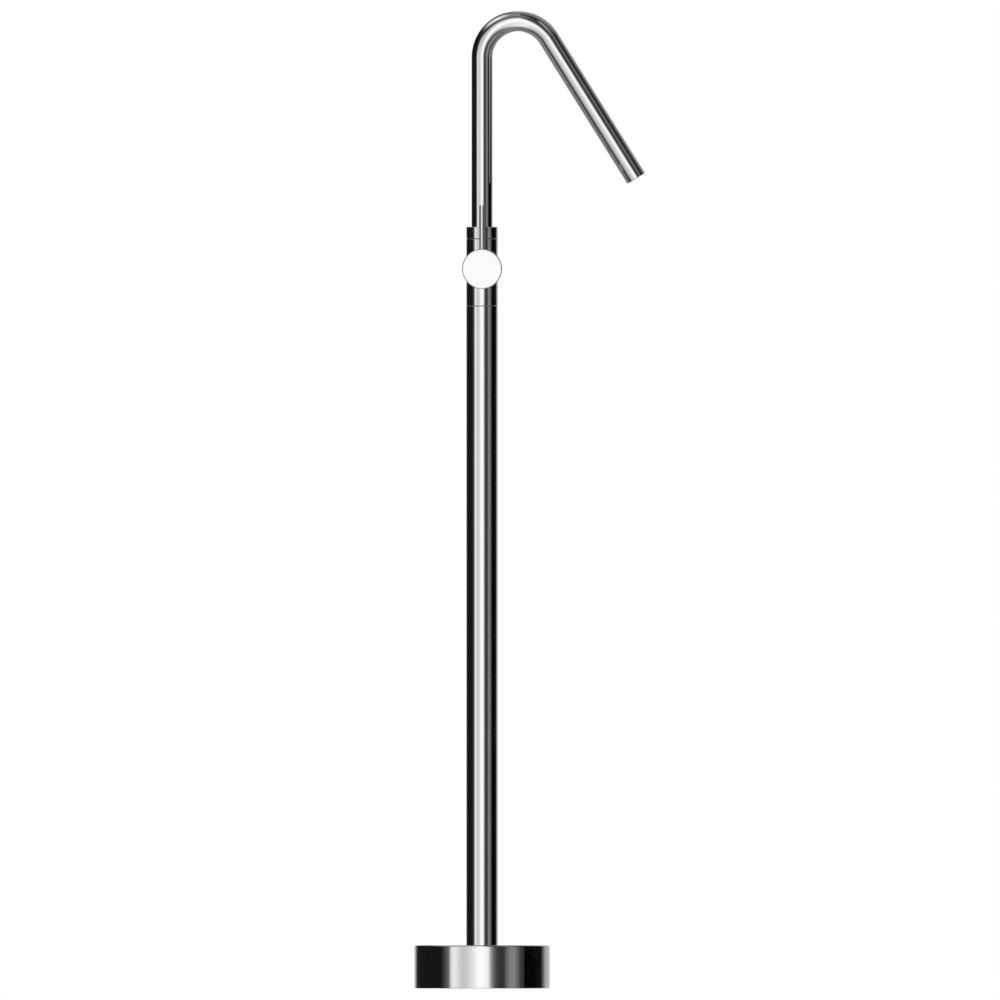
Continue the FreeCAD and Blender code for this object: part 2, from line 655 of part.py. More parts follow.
HOUSING_ROOF = f"({CARRIER_SHOULDER} + turn_gap)"
housing = turned("cartridge_housing", [
    (HOUSING_BORE, BASE_TOP),
    ("cartridge_radius", BASE_TOP),
    ("cartridge_radius", "housing_shoulder"),
    ("housing_neck", "housing_shoulder"),
    ("housing_neck", "housing_reach"),
    ("throat_radius", "housing_reach"),
    ("throat_radius", HOUSING_ROOF),
    (HOUSING_BORE, HOUSING_ROOF)])
lay_forward(housing)

nut = turned("cartridge_nut", [
    ("cartridge_radius + 2 * fit", "neck_reach - nut_thread_length"),
    (f"{NUT_BORE} - fit", "neck_reach - nut_thread_length"),
    (f"{NUT_BORE} - fit", "neck_reach"),
    (NUT_COLLAR, "neck_reach"),
    (NUT_COLLAR, "nut_reach"),
    ("housing_neck + 2 * fit", "nut_reach"),
    ("housing_neck + 2 * fit", "housing_shoulder + fit"),
    ("cartridge_radius + 2 * fit", "housing_shoulder + fit")])
lay_forward(nut)

# the chromed cap: a short sleeve over the nut's collar, ending in a ball about the lever's pivot
CAP_FOOT = "(neck_reach + fit)"
cap = turned("cartridge_cap", [
    ("0", CAP_FOOT),
    (NECK_RADIUS, CAP_FOOT),
    (NECK_RADIUS, "pivot_reach"),
    ("0", "pivot_reach")])
lay_forward(cap)
ball(cap, "Additive", NECK_RADIUS, "pivot_reach", lowest=0)
drill(cap, "XY_Plane", "0", "0", f"{NUT_COLLAR} + fit", "nut_reach + fit", "nut_reach + fit")
ball(cap, "Subtractive", f"{NECK_RADIUS} - cap_wall", "pivot_reach", lowest=0)
drill(cap, "XY_Plane", "0", "0", "cap_opening", NECK_RADIUS, f"pivot_reach + {NECK_RADIUS}")

# ---------------------------------------------------------------- cartridge, turning pieces
carrier = turned("cartridge_carrier", [
    ("0", CARRIER_BOTTOM),
    (f"{HOUSING_BORE} - 2 * turn_gap", CARRIER_BOTTOM),
    (f"{HOUSING_BORE} - 2 * turn_gap", CARRIER_SHOULDER),
    ("throat_radius - turn_gap", CARRIER_SHOULDER),
    ("throat_radius - turn_gap", "carrier_reach"),
    ("0", "carrier_reach")])
lay_forward(carrier)
# slot that guides the slider, then the slot in which the stem tilts, then the pin's bore
guide = new_sketch(carrier, "XY_Plane", CARRIER_BOTTOM)
draw_box(guide, "-slider_half_width - turn_gap", "slider_half_width + turn_gap",
         "-slider_half_width - turn_gap", f"slider_half_width + {SLIDER_STROKE} + carrier_gap")
cut(carrier, guide, f"{SLIDER_TOP} + carrier_gap - {CARRIER_BOTTOM}", ahead=True)
STEM_DROP = "((carrier_reach - pivot_reach) * tan(tilt_limit) + stem_half_height / cos(tilt_limit))"
tilt_slot = new_sketch(carrier, "XY_Plane", "carrier_reach")
draw_box(tilt_slot, "-stem_half_width - turn_gap", "stem_half_width + turn_gap",
         f"-{STEM_DROP} - 2 * carrier_gap", f"{SLIDER_STROKE} + ball_radius + carrier_gap")
cut(carrier, tilt_slot, f"carrier_reach - {SLIDER_TOP}")
drill(carrier, "YZ_Plane", "0", "pivot_reach", "pivot_pin + fit", "2 * throat_radius", "throat_radius")

pin = new_body("stem_pivot_pin")
lay_forward(pin)
rod(pin, "YZ_Plane", "0", "pivot_reach", "pivot_pin", "2 * (throat_radius - carrier_gap) - pivot_pin",
    "(pivot_pin / 2 + carrier_gap - throat_radius)")

moving_disc = turned("moving_ceramic_disc", [
    ("0", MOVING_BOTTOM),
    ("moving_disc_radius", MOVING_BOTTOM),
    ("moving_disc_radius", MOVING_TOP),
    ("0", MOVING_TOP)])
lay_forward(moving_disc)
pocket = new_sketch(moving_disc, "XY_Plane", MOVING_BOTTOM)
draw_box(pocket, "-pocket_half_width", "pocket_half_width", "-pocket_drop", "pocket_rise")
cut(moving_disc, pocket, "pocket_depth", ahead=True)

slider = turned("disc_slider", [
    ("0", MOVING_TOP),
    ("moving_disc_radius", MOVING_TOP),
    ("moving_disc_radius", f"{MOVING_TOP} + slider_plate"),
    ("0", f"{MOVING_TOP} + slider_plate")])
lay_forward(slider)
block_sketch = new_sketch(slider, "XY_Plane", f"{MOVING_TOP} + slider_plate")
draw_box(block_sketch, "-slider_half_width", "slider_half_width", "-slider_half_width", "slider_half_width")
pad(slider, block_sketch, "slider_height - slider_plate")
drill(slider, "XY_Plane", "0", "0", "ball_radius + ball_play",
      f"{SLIDER_TOP} - {BALL_REACH} + ball_radius + ball_play", SLIDER_TOP)

# ---------------------------------------------------------------- handle
STEM_ROOT = "(pivot_reach - stem_root)"
stem = new_body("cartridge_stem")
lay_forward(stem)
ball(stem, "Additive", "ball_radius", BALL_REACH)
rod(stem, "XY_Plane", "0", "0", "stem_neck", f"{STEM_ROOT} - {BALL_REACH} + fit", BALL_REACH)
bar = new_sketch(stem, "XY_Plane", STEM_ROOT)
draw_box(bar, "-stem_half_width", "stem_half_width", "-stem_half_height", "stem_half_height")
pad(stem, bar, f"{STEM_END} - fit - {STEM_ROOT}")
drill(stem, "YZ_Plane", "0", "pivot_reach", "pivot_pin + fit", "2 * stem_half_width", "stem_half_width")

hub = turned("handle_hub", [
    ("hub_radius - hub_wall", HUB_RIM),
    ("hub_radius", HUB_RIM),
    ("hub_radius", HUB_FACE),
    ("0", HUB_FACE),
    ("0", HUB_BOSS_BACK),
    ("hub_boss", HUB_BOSS_BACK),
    ("hub_boss", HUB_FLOOR),
    ("hub_radius - hub_wall", HUB_FLOOR)])
lay_forward(hub)
round_edge(hub, "hub_edge", "hub_radius", HUB_FACE)
PAD_START = "(hub_radius - hub_wall - pin_pad_depth)"
rod(hub, "XZ_Plane", "0", PIN_REACH, "pin_pad", "pin_pad_depth + hub_wall / 2", f"-{PAD_START}", back=True)
drill(hub, "XZ_Plane", "0", PIN_REACH, "pin_radius + fit", "pin_seat", "-hub_radius", ahead=True)
drill(hub, "XZ_Plane", "0", PIN_REACH, "pin_thread", "pin_pad_depth + hub_wall", "-hub_radius", ahead=True)
stem_socket = new_sketch(hub, "XY_Plane", HUB_BOSS_BACK)
draw_box(stem_socket, "-stem_half_width - fit", "stem_half_width + fit",
         "-stem_half_height - fit", "stem_half_height + fit")
cut(hub, stem_socket, f"{STEM_END} - {HUB_BOSS_BACK}", ahead=True)
HANDLE_SCREW_REACH = f"({HUB_FLOOR} - hub_boss_height / 2)"
drill(hub, "XZ_Plane", "0", HANDLE_SCREW_REACH, "handle_screw", "hub_radius", "hub_radius")

handle_screw = new_body("handle_grub_screw")
lay_forward(handle_screw)
rod(handle_screw, "XZ_Plane", "0", HANDLE_SCREW_REACH, "handle_screw - fit",
    "hub_boss - stem_half_height - 2 * fit", "stem_half_height + 2 * fit")

lever = turned("lever_pin", [
    ("0", f"{PAD_START} + fit"),
    ("pin_thread - fit", f"{PAD_START} + fit"),
    ("pin_thread - fit", "hub_radius - pin_seat"),
    ("pin_radius", "hub_radius - pin_seat"),
    ("pin_radius", "pin_length"),
    ("0", "pin_length")])
place(lever, along_y=f"-{PIN_REACH}", along_z=HANDLE_AXIS)
round_edge(lever, "pin_edge", "pin_radius", "pin_length")

# ---------------------------------------------------------------- spout
# Each piece's own Z starts at the upper seam.


def seal_groove(drop, floor):
    """The four corners of a seal's groove round the spigot, from the lower one up."""
    low = f"-{drop} - {SEAL_GROOVE_WIDTH} / 2"
    high = f"-{drop} + {SEAL_GROOVE_WIDTH} / 2"
    return [("swivel_radius", low), (floor, low), (floor, high), ("swivel_radius", high)]


SWIVEL_GROOVE = f"(swivel_radius - {SEAL_GROOVE_DEPTH} + fit)"
spigot = turned("spout_spigot", [
    ("swivel_bore", SWIVEL_BOTTOM),
    ("swivel_radius - small_edge", SWIVEL_BOTTOM),
    ("swivel_radius", f"{SWIVEL_BOTTOM} + small_edge"),
    *seal_groove("lower_seal_drop", SWIVEL_GROOVE),
    *seal_groove("upper_seal_drop", SWIVEL_GROOVE),
    ("swivel_radius", "tube_seat"),
    (f"{SPOUT_BORE} - fit", "tube_seat"),
    (f"{SPOUT_BORE} - fit", "tube_seat + insert_length"),
    ("swivel_bore", "tube_seat + insert_length")])
place(spigot, along_z=BODY_TOP)
# the stop groove runs only part of the way round, so that its ends meet the stop screw
stop_sketch = new_sketch(spigot, "YZ_Plane")
draw_box(stop_sketch, "swivel_radius - stop_groove_depth", "swivel_radius + small_edge",
         "-stop_drop - stop_groove_half", "-stop_drop + stop_groove_half")
stop_groove = spigot.newObject("PartDesign::Groove", "spigot_stop_groove")
uncut = spigot.Shape.Volume
stop_groove.Profile = stop_sketch
stop_groove.ReferenceAxis = (plane(spigot, "Z_Axis"), [""])
stop_groove.Midplane = True
stop_groove.setExpression("Angle", named("2 * (swivel_limit + stop_angle)"))
doc.recompute()
if spigot.Shape.Volume >= uncut:
    raise ValueError("the stop groove cuts nothing")

swivel_seals = new_body("spout_seals")
place(swivel_seals, along_z=BODY_TOP)
for drop in ("lower_seal_drop", "upper_seal_drop"):
    ring(swivel_seals, "swivel_radius - seal_section + fit / 2", "seal_section", f"-{drop}")

bearing = turned("spout_bearing_ring", [
    ("swivel_radius + 2 * fit", "-bearing_recess"),
    (BEARING_RADIUS, "-bearing_recess"),
    (BEARING_RADIUS, "swivel_gap - fit"),
    ("swivel_radius + 2 * fit", "swivel_gap - fit")])
place(bearing, along_z=BODY_TOP)

stop = new_body("spout_stop_screw")
place(stop, along_z=f"{BODY_TOP} - stop_drop")
rod(stop, "XZ_Plane", "0", "0", "stop_screw - fit", "column_radius - swivel_radius - 2 * small_edge",
    "small_edge - column_radius")
rod(stop, "XZ_Plane", "0", "0", "stop_point", "stop_groove_depth + small_edge - 2 * fit",
    "-swivel_radius - small_edge")
stop_key = new_sketch(stop, "XZ_Plane", "small_edge - column_radius")
draw_hexagon(stop_key, "0", "0", "hex_key")
cut(stop, stop_key, "stop_screw - small_edge", ahead=True)

collar = turned("spout_collar", [
    ("swivel_radius + fit", "swivel_gap"),
    ("column_radius - seam_edge", "swivel_gap"),
    ("column_radius", "swivel_gap + seam_edge"),
    ("column_radius", "collar_height - collar_edge"),
    ("column_radius - collar_edge", "collar_height"),
    ("spout_radius + fit", "collar_height"),
    ("spout_radius + fit", "tube_seat"),
    ("swivel_radius + fit", "tube_seat")])
place(collar, along_z=BODY_TOP)

# the spout's centre line: straight up, over in one bend, then straight down at a slant
TURN_END_X = "(bend_radius + bend_radius * cos(spout_slant))"
TURN_END_Z = "(spout_rise + bend_radius * sin(spout_slant))"
LEG = "(spout_fall - tip_rim)"
spout = new_body("spout_tube")
place(spout, along_z=BODY_TOP)
line = new_sketch(spout, "XZ_Plane")
route = [("0", "tube_seat"), ("0", "spout_rise"), (TURN_END_X, TURN_END_Z),
         (f"{TURN_END_X} + {LEG} * sin(spout_slant)", f"{TURN_END_Z} - {LEG} * cos(spout_slant)")]
stations = [FreeCAD.Vector(value(across), value(up), 0) for across, up in route]
bend_centre = FreeCAD.Vector(value("bend_radius"), value("spout_rise"), 0)
bend = Part.Circle(bend_centre, FreeCAD.Vector(0, 0, 1), value("bend_radius"))
line.addGeometry(Part.LineSegment(stations[0], stations[1]))
line.addGeometry(Part.ArcOfCircle(bend, math.radians(value("spout_slant")), math.pi))
line.addGeometry(Part.LineSegment(stations[2], stations[3]))
for number, (edge, end) in enumerate([(0, 1), (0, 2), (2, 1), (2, 2)]):
    tie_point(line, edge, end, *route[number])
line.addConstraint(Sketcher.Constraint("Coincident", 0, 2, 1, 2))
line.addConstraint(Sketcher.Constraint("Coincident", 2, 1, 1, 1))
tie_point(line, 1, 3, up="spout_rise")
section = new_sketch(spout, "XY_Plane", "tube_seat")
draw_circle(section, "0", "0", "spout_radius")
draw_circle(section, "0", "0", SPOUT_BORE)
pipe = spout.newObject("PartDesign::AdditivePipe", "spout_pipe")
pipe.Profile = section
pipe.Spine = line
doc.recompute()

# ---------------------------------------------------------------- aerator at the tip
# Each piece's own Z is the way that the water leaves and starts at the tip.
TIP_X = f"({TURN_END_X} + spout_fall * sin(spout_slant))"
TIP_Z = f"({BODY_TOP} + {TURN_END_Z} - spout_fall * cos(spout_slant))"


def lay_at_tip(body):
    """Put a body's origin at the middle of the spout's tip, with its Z along the water."""
    body.Placement.Rotation = FreeCAD.Rotation(FreeCAD.Vector(0, 1, 0), 180 - value("spout_slant"))
    body.setExpression("Placement.Rotation.Angle", named("180 - spout_slant"))
    place(body, along_x=TIP_X, along_z=TIP_Z)


LIP_BACK = "(-aerator_lip)"
STRAINER_BACK = "(-aerator_lip - strainer_height)"
aerator = turned("aerator_housing", [
    ("aerator_bore - aerator_lip", LIP_BACK),
    ("aerator_bore - aerator_lip", "0"),
    ("spout_radius - tip_edge", "0"),
    ("spout_radius", "-tip_edge"),
    ("spout_radius", "-tip_rim"),
    (f"{SPOUT_BORE} - fit", "-tip_rim"),
    (f"{SPOUT_BORE} - fit", "-aerator_length"),
    ("aerator_bore", "-aerator_length"),
    ("aerator_bore", LIP_BACK)])
lay_at_tip(aerator)

strainer = turned("aerator_insert", [
    ("0", STRAINER_BACK),
    ("aerator_bore - fit", STRAINER_BACK),
    ("aerator_bore - fit", LIP_BACK),
    ("0", LIP_BACK)])
lay_at_tip(strainer)
drill(strainer, "XY_Plane", "0", "0", "strainer_hole", "strainer_height", LIP_BACK)
for ring_number in (1, 2):
    hole = drill(strainer, "XY_Plane", f"{ring_number} * strainer_pitch", "0", "strainer_hole",
                 "strainer_height", LIP_BACK)
    around(strainer, [hole], 6 * ring_number)

washer = turned("aerator_washer", [
    ("aerator_bore - 2 * aerator_lip", f"{STRAINER_BACK} - washer_height"),
    ("aerator_bore - fit", f"{STRAINER_BACK} - washer_height"),
    ("aerator_bore - fit", STRAINER_BACK),
    ("aerator_bore - 2 * aerator_lip", STRAINER_BACK)])
lay_at_tip(washer)

# ---------------------------------------------------------------- check and write
doc.recompute()
for item in doc.Objects:
    if "Invalid" in item.State or "Error" in item.State:
        raise ValueError(f"{item.Label} failed: {item.State}")
subparts = [item for item in doc.Objects if item.TypeId == "PartDesign::Body"]
for body in subparts:
    if body.Shape.isNull() or not body.Shape.isValid():
        raise ValueError(f"{body.Label} has no valid solid")
for body in subparts:
    body.Shape.exportStep(f"parts/{body.Label}.step")
print(len(subparts), "sub-parts written")
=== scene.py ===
# %% [markdown]
# # A floor standing bath filler in polished chrome
#
# The filler is a tall column on a round floor cover. A valve body sits on the column, a spout swivels
# on top of it, and a round handle with a lever pin works the cartridge in its neck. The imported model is
# the fixed frame: it gives the sizes and places that its boxes can show, and each piece of this scene
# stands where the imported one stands.

# %% Load the frame
import math
import bmesh
import bpy
import numpy as np
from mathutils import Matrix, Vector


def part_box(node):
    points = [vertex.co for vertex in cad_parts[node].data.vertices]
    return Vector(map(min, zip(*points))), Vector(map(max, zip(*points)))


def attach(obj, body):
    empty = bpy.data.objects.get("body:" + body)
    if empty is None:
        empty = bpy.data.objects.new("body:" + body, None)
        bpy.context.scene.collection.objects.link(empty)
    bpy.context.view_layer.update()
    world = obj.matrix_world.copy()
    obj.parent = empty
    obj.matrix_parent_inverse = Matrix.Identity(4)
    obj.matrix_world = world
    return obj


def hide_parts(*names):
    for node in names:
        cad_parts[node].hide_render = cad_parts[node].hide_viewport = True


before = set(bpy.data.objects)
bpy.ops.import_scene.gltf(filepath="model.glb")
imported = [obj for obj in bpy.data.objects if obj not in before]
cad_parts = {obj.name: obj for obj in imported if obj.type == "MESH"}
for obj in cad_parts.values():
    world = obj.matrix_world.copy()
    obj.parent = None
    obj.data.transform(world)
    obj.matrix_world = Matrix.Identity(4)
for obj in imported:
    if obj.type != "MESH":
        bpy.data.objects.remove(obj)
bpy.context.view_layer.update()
MM = 0.001


def add_object(name, data):
    """A new object with this data, in the scene."""
    thing = bpy.data.objects.new(name, data)
    bpy.context.scene.collection.objects.link(thing)
    return thing


# %% [markdown]
# ## Camera
#
# The photograph shows no perspective: the column is as wide at the floor as at the spout. So the camera
# is orthographic, level, and looks along +Y. Two marks of the picture fix it: the pixel column of the
# filler's axis and the pixel row of the floor. The width of one pixel comes from the real tube sizes.

# %% Camera
PIXEL = 1.2027 * MM  # what one pixel of the picture spans on the object
PICTURE = 1000  # pixels on each side
AXIS_COLUMN = 482.07  # pixel column of the column's axis
FLOOR_ROW = 988.55  # pixel row of the floor

camera_data = bpy.data.cameras.new("camera")
camera_data.type = "ORTHO"
camera_data.ortho_scale = PICTURE * PIXEL
camera = add_object("camera", camera_data)
camera.location = ((PICTURE / 2 - AXIS_COLUMN) * PIXEL, -3, (FLOOR_ROW - PICTURE / 2) * PIXEL)
camera.rotation_euler = (math.radians(90), 0, 0)
bpy.context.scene.camera = camera
bpy.context.scene.view_settings.view_transform = "Standard"
print("the picture spans", round(camera_data.ortho_scale, 4), "metres")

# %% [markdown]
# ## Building node trees
#
# Every material, and the studio too, is a tree of nodes. One helper adds a node, sets it up and joins
# its inputs: a socket given as an input is linked, and anything else is written on the node itself.

# %% A node with its inputs
def add_node(tree, kind, inputs=None, **settings):
    """Add a shader node of a kind, with settings by name and inputs by name or number."""
    node = tree.nodes.new("ShaderNode" + kind)
    for name, setting in settings.items():
        setattr(node, name, setting)
    for name, given in (inputs or {}).items():
        if isinstance(given, bpy.types.NodeSocket):
            tree.links.new(given, node.inputs[name])
        else:
            node.inputs[name].default_value = given
    return node


def math_node(tree, operation, *values):
    """The result of a Math node on up to three values or sockets."""
    return add_node(tree, "Math", dict(enumerate(values)), operation=operation).outputs[0]


def times(tree, first, second):
    """The product of two values or sockets."""
    return math_node(tree, "MULTIPLY", first, second)


def new_group(name, vector, numbers, output):
    """A group of nodes with a vector and numbers as inputs: the group and its inputs' sockets."""
    group = bpy.data.node_groups.new(name, "ShaderNodeTree")
    group.interface.new_socket(vector, in_out="INPUT", socket_type="NodeSocketVector")
    for label in numbers:
        group.interface.new_socket(label, in_out="INPUT", socket_type="NodeSocketFloat")
    group.interface.new_socket(output, in_out="OUTPUT", socket_type="NodeSocketFloat")
    return group, group.nodes.new("NodeGroupInput").outputs


def close_group(group, outcome):
    """Link the outcome to the group's one output."""
    group.links.new(outcome, group.nodes.new("NodeGroupOutput").inputs[0])
    return group


# %% [markdown]
# ## The studio
#
# Polished chrome has no colour of its own: it shows the room. A photographer of taps hangs a large white
# screen in front, a strip lamp beside it, and black flags on both sides, so that the tube gets one bright
# band between two black ones. Those panels are painted in the world's background, which only reflections
# see. Each is a rectangle on a wall of a square room. For a direction d and a wall that faces the object
# from the front, the place on that wall is the pair of slopes (d.x / -d.y, d.z / -d.y), and a panel is
# where both slopes lie between its edges. Other walls are the same after a turn about the vertical.

# %% One soft-edged panel
LEAST_AHEAD = 1e-4  # keeps the slopes from a division by zero
PANEL_EDGES = ("Left Out", "Left In", "Right In", "Right Out", "Low Out", "Low In", "High In", "High Out")


def panel_group():
    """Mask of a soft-edged rectangle on a wall of the room, from a direction and its eight slopes."""
    group, given = new_group("studio_panel", "Direction", ("Facing", *PANEL_EDGES), "Mask")
    turned = add_node(group, "VectorRotate", {
        "Vector": given["Direction"], "Angle": times(group, given["Facing"], -1)},
        rotation_type="Z_AXIS")
    split = add_node(group, "SeparateXYZ", {0: turned.outputs[0]})
    ahead = math_node(group, "MAXIMUM", times(group, split.outputs["Y"], -1), LEAST_AHEAD)
    mask = math_node(group, "LESS_THAN", split.outputs["Y"], 0)
    for axis, edges in (("X", PANEL_EDGES[:4]), ("Z", PANEL_EDGES[4:])):
        slope = math_node(group, "DIVIDE", split.outputs[axis], ahead)
        for outer, inner in (edges[:2], edges[:1:-1]):
            fade = add_node(group, "MapRange", {
                "Value": slope, "From Min": given[outer], "From Max": given[inner]},
                interpolation_type="SMOOTHSTEP")
            mask = times(group, mask, fade.outputs[0])
    return close_group(group, mask)


# %% The panels, in degrees across and up as seen from the object, straight at their wall
FRONT, RIGHT, BACK, LEFT = 0, 90, 180, -90
ROOM = 0.225  # brightness of the bare room
PANELS = [
    # From the wall towards the object. A positive effect is the light that a panel adds, a negative
    # one the share of the light behind it that a flag takes. Each edge fades from an outer to an inner
    # angle: name, wall, effect, (across: outer, inner, inner, outer), (up: the same from below)
    ("white screen", FRONT, 0.34, (-60, -50, -8, 13), (-70, -35, 40, 44)),
    ("screen lit from the left", FRONT, 0.54, (-38, 9, 11, 28), (-65, -55, 30, 32)),
    ("screen's brightest spot", FRONT, 0.28, (-24, 7, 10, 14), (-7, 4, 15, 28)),
    ("strip lamp", FRONT, 0.50, (-60, -53, -50, -25), (-40, -20, -15, 30)),
    ("back wall", BACK, 0.38, (-58, -6, -4, 58), (-55, -12, -10, 65)),
    ("tall left flag", LEFT, -0.96, (-70, -50, 13, 40), (-34, -24, 21, 65)),
    ("small right flag", RIGHT, -0.98, (-15, -12, 27, 47), (-2, 0, 26, 32)),
    ("tall right flag", RIGHT, -0.77, (-80, -66, 5, 30), (-70, 20, 32, 40)),
    ("upper left lamp", LEFT, 0.85, (-50, -12, -10, 55), (35, 53, 55, 80)),
    ("upper right flag", RIGHT, -0.90, (-87, -65, -30, 12), (27, 42, 86, 88)),
    ("upper right lamp", RIGHT, 0.35, (-67, -43, -40, -30), (10, 48, 54, 64)),
    ("lower left flag", LEFT, -0.75, (-30, 20, 22, 30), (-85, -50, -32, -26)),
    ("upper left flag", LEFT, -0.80, (0, 25, 28, 60), (25, 43, 45, 65)),
    ("upper back flag", BACK, -0.80, (-5, 22, 25, 50), (0, 20, 45, 70)),
    ("screen's top rail", FRONT, -0.98, (-60, -50, -5, 15), (32, 52, 55, 75)),
    ("low flag behind on the left", LEFT, -0.45, (24, 28, 32, 60), (-75, -50, -32, -24)),
    ("middle right flag", RIGHT, -0.65, (-68, -58, -8, 10), (-2, 2, 30, 50)),
    ("light over the screen", FRONT, 0.15, (-60, -30, 10, 40), (28, 58, 74, 78)),
    ("grey card", RIGHT, 0.22, (-54, -37, -35, -17), (-60, -37, -13, 56)),
    ("back strip lamp", BACK, 0.45, (-13, -5, 5, 13), (-60, -30, 25, 50)),
]


def studio_light(tree, direction):
    """Brightness that a reflection sees in a direction: the room, then panel after panel on top."""
    group = panel_group()
    light = ROOM
    for name, wall, effect, across, up in PANELS:
        given = {"Direction": direction, "Facing": math.radians(wall)}
        given |= {edge: math.tan(math.radians(angle)) for edge, angle in zip(PANEL_EDGES, across + up)}
        mask = add_node(tree, "Group", given, node_tree=group, label=name).outputs["Mask"]
        if effect > 0:
            light = math_node(tree, "MULTIPLY_ADD", mask, effect, light)
        else:
            passing = math_node(tree, "MULTIPLY_ADD", mask, effect, 1.0)
            light = times(tree, light, passing)
    return light


# %% [markdown]
# The camera sees a plain white ground and everything matt is lit by soft daylight from all around.
# The Light Path node tells the three apart: a camera ray gets white at strength 1, a ray that left a
# mirror gets the studio's panels, and all others get the soft light.

# %% The world
DAYLIGHT = 0.85  # soft light on matt surfaces

world = bpy.data.worlds.new("studio")
world.use_nodes = True
bpy.context.scene.world = world
tree = world.node_tree
tree.nodes.clear()
seen = add_node(tree, "TexCoord").outputs["Generated"]
path = add_node(tree, "LightPath").outputs
mirrored = math_node(tree, "MAXIMUM", path["Is Glossy Ray"], path["Is Transmission Ray"])
reflected = times(tree, mirrored, studio_light(tree, seen))
matt = times(tree, math_node(tree, "SUBTRACT", 1.0, mirrored), DAYLIGHT)
light = math_node(tree, "ADD", reflected, matt)
light = math_node(tree, "MAXIMUM", light, path["Is Camera Ray"])
background = add_node(tree, "Background", {"Color": light})
add_node(tree, "OutputWorld", {"Surface": background.outputs[0]})
print(len(tree.nodes), "nodes make the studio")

# %% [markdown]
# ## Floor and key lamp
#
# The floor is a plain pale sheet that catches the shadow. Mirrors don't see it, because the studio's
# own dark floor is what the photographed chrome shows. One large lamp from the upper left gives the
# shadow its direction; it is hidden from reflections too, where its square would stand out.

# %% The floor
FLOOR_SIDE = 12.0

half = FLOOR_SIDE / 2
corners = [(-half, -half, 0), (half, -half, 0), (half, half, 0), (-half, half, 0)]
floor_mesh = bpy.data.meshes.new("floor")
floor_mesh.from_pydata(corners, [], [(0, 1, 2, 3)])
floor = add_object("floor", floor_mesh)
floor.visible_glossy = False

# %% The floor's paint
PALE = (0.9, 0.9, 0.9, 1)
FADE = (0.6, 2.6)  # metres from the column: the floor fades into the white ground

paint = bpy.data.materials.new("pale_floor")
paint.use_nodes = True
tree = paint.node_tree
tree.nodes.clear()
matt = add_node(tree, "BsdfDiffuse", {"Color": PALE})
white = add_node(tree, "Emission", {"Color": (1, 1, 1, 1), "Strength": 1.0})
place = add_node(tree, "TexCoord").outputs["Object"]
away = add_node(tree, "VectorMath", {0: place}, operation="LENGTH").outputs["Value"]
fade = add_node(tree, "MapRange", {"Value": away, "From Min": FADE[0], "From Max": FADE[1]},
                interpolation_type="SMOOTHSTEP").outputs[0]
camera_sees = add_node(tree, "LightPath").outputs["Is Camera Ray"]
blend = add_node(tree, "MixShader", {
    0: times(tree, fade, camera_sees), 1: matt.outputs[0], 2: white.outputs[0]})
add_node(tree, "OutputMaterial", {"Surface": blend.outputs[0]})
floor_mesh.materials.append(paint)

# %% The lamp
LAMP_PLACE = (-1.4, -2.0, 2.6)
LAMP_TILT = math.radians(38)  # from straight down
LAMP_TURN = math.radians(-35)  # about the vertical
LAMP_SIDE = 1.6
LAMP_POWER = 26  # watts

lamp_data = bpy.data.lights.new("key_lamp", "AREA")
lamp_data.size = LAMP_SIDE
lamp_data.energy = LAMP_POWER
lamp = add_object("key_lamp", lamp_data)
lamp.location = LAMP_PLACE
lamp.rotation_euler = (LAMP_TILT, 0, LAMP_TURN)
lamp.visible_glossy = False

# %% [markdown]
# ## Finishes
#
# Three effects are shared by several metals and plastics, so each is a group with named inputs:
# marks of handling, the fine rings that a lathe leaves, and the grain of a moulding.

# %% Marks of handling
PATCH_START, PATCH_FULL = 0.42, 0.68  # where in the coarse noise a smear begins and is full
FINER = 9.0  # how much finer the noise that breaks it up is


def add_marks_group():
    """Mask of faint smears: coarse noise with its middle stretched, broken up by finer noise."""
    group, given = new_group("handling_marks", "Point", ["Size"], "Mask")
    point, scale = given["Point"], math_node(group, "DIVIDE", 1.0, given["Size"])
    coarse = add_node(group, "TexNoise", {"Vector": point, "Scale": scale, "Detail": 2.0})
    fine = add_node(group, "TexNoise", {
        "Vector": point, "Scale": times(group, scale, FINER), "Detail": 4.0})
    patches = add_node(group, "MapRange", {
        "Value": coarse.outputs[0], "From Min": PATCH_START, "From Max": PATCH_FULL})
    return close_group(group, times(group, patches.outputs[0], fine.outputs[0]))


# %% Rings left by a lathe
def add_rings_group():
    """Height of the rings that a tool leaves about the Z axis. The tool's track is counted along
    the axis plus out from it, so the rings run round a side and across an end alike."""
    group, given = new_group("lathe_rings", "Point", ["Pitch"], "Height")
    split = add_node(group, "SeparateXYZ", {0: given["Point"]}).outputs
    squares = times(group, split["Y"], split["Y"])
    out = math_node(group, "SQRT", math_node(group, "MULTIPLY_ADD", split["X"], split["X"], squares))
    track = math_node(group, "DIVIDE", math_node(group, "ADD", out, split["Z"]), given["Pitch"])
    rings = add_node(group, "TexNoise", {"W": track, "Scale": 1.0, "Detail": 3.0},
                     noise_dimensions="1D")
    return close_group(group, rings.outputs[0])


# %% Grain of a moulding
SLOWER = 0.1  # scale of the waviness, as a share of the grain's


def add_grain_group():
    """Height of a moulded surface: small rounded cells over a slower waviness."""
    group, given = new_group("moulded_grain", "Point", ["Size"], "Height")
    point, scale = given["Point"], math_node(group, "DIVIDE", 1.0, given["Size"])
    cells = add_node(group, "TexVoronoi", {"Vector": point, "Scale": scale}, feature="SMOOTH_F1")
    wave = add_node(group, "TexNoise", {
        "Vector": point, "Scale": times(group, scale, SLOWER), "Detail": 2.0})
    return close_group(group, math_node(group, "ADD", cells.outputs["Distance"], wave.outputs[0]))


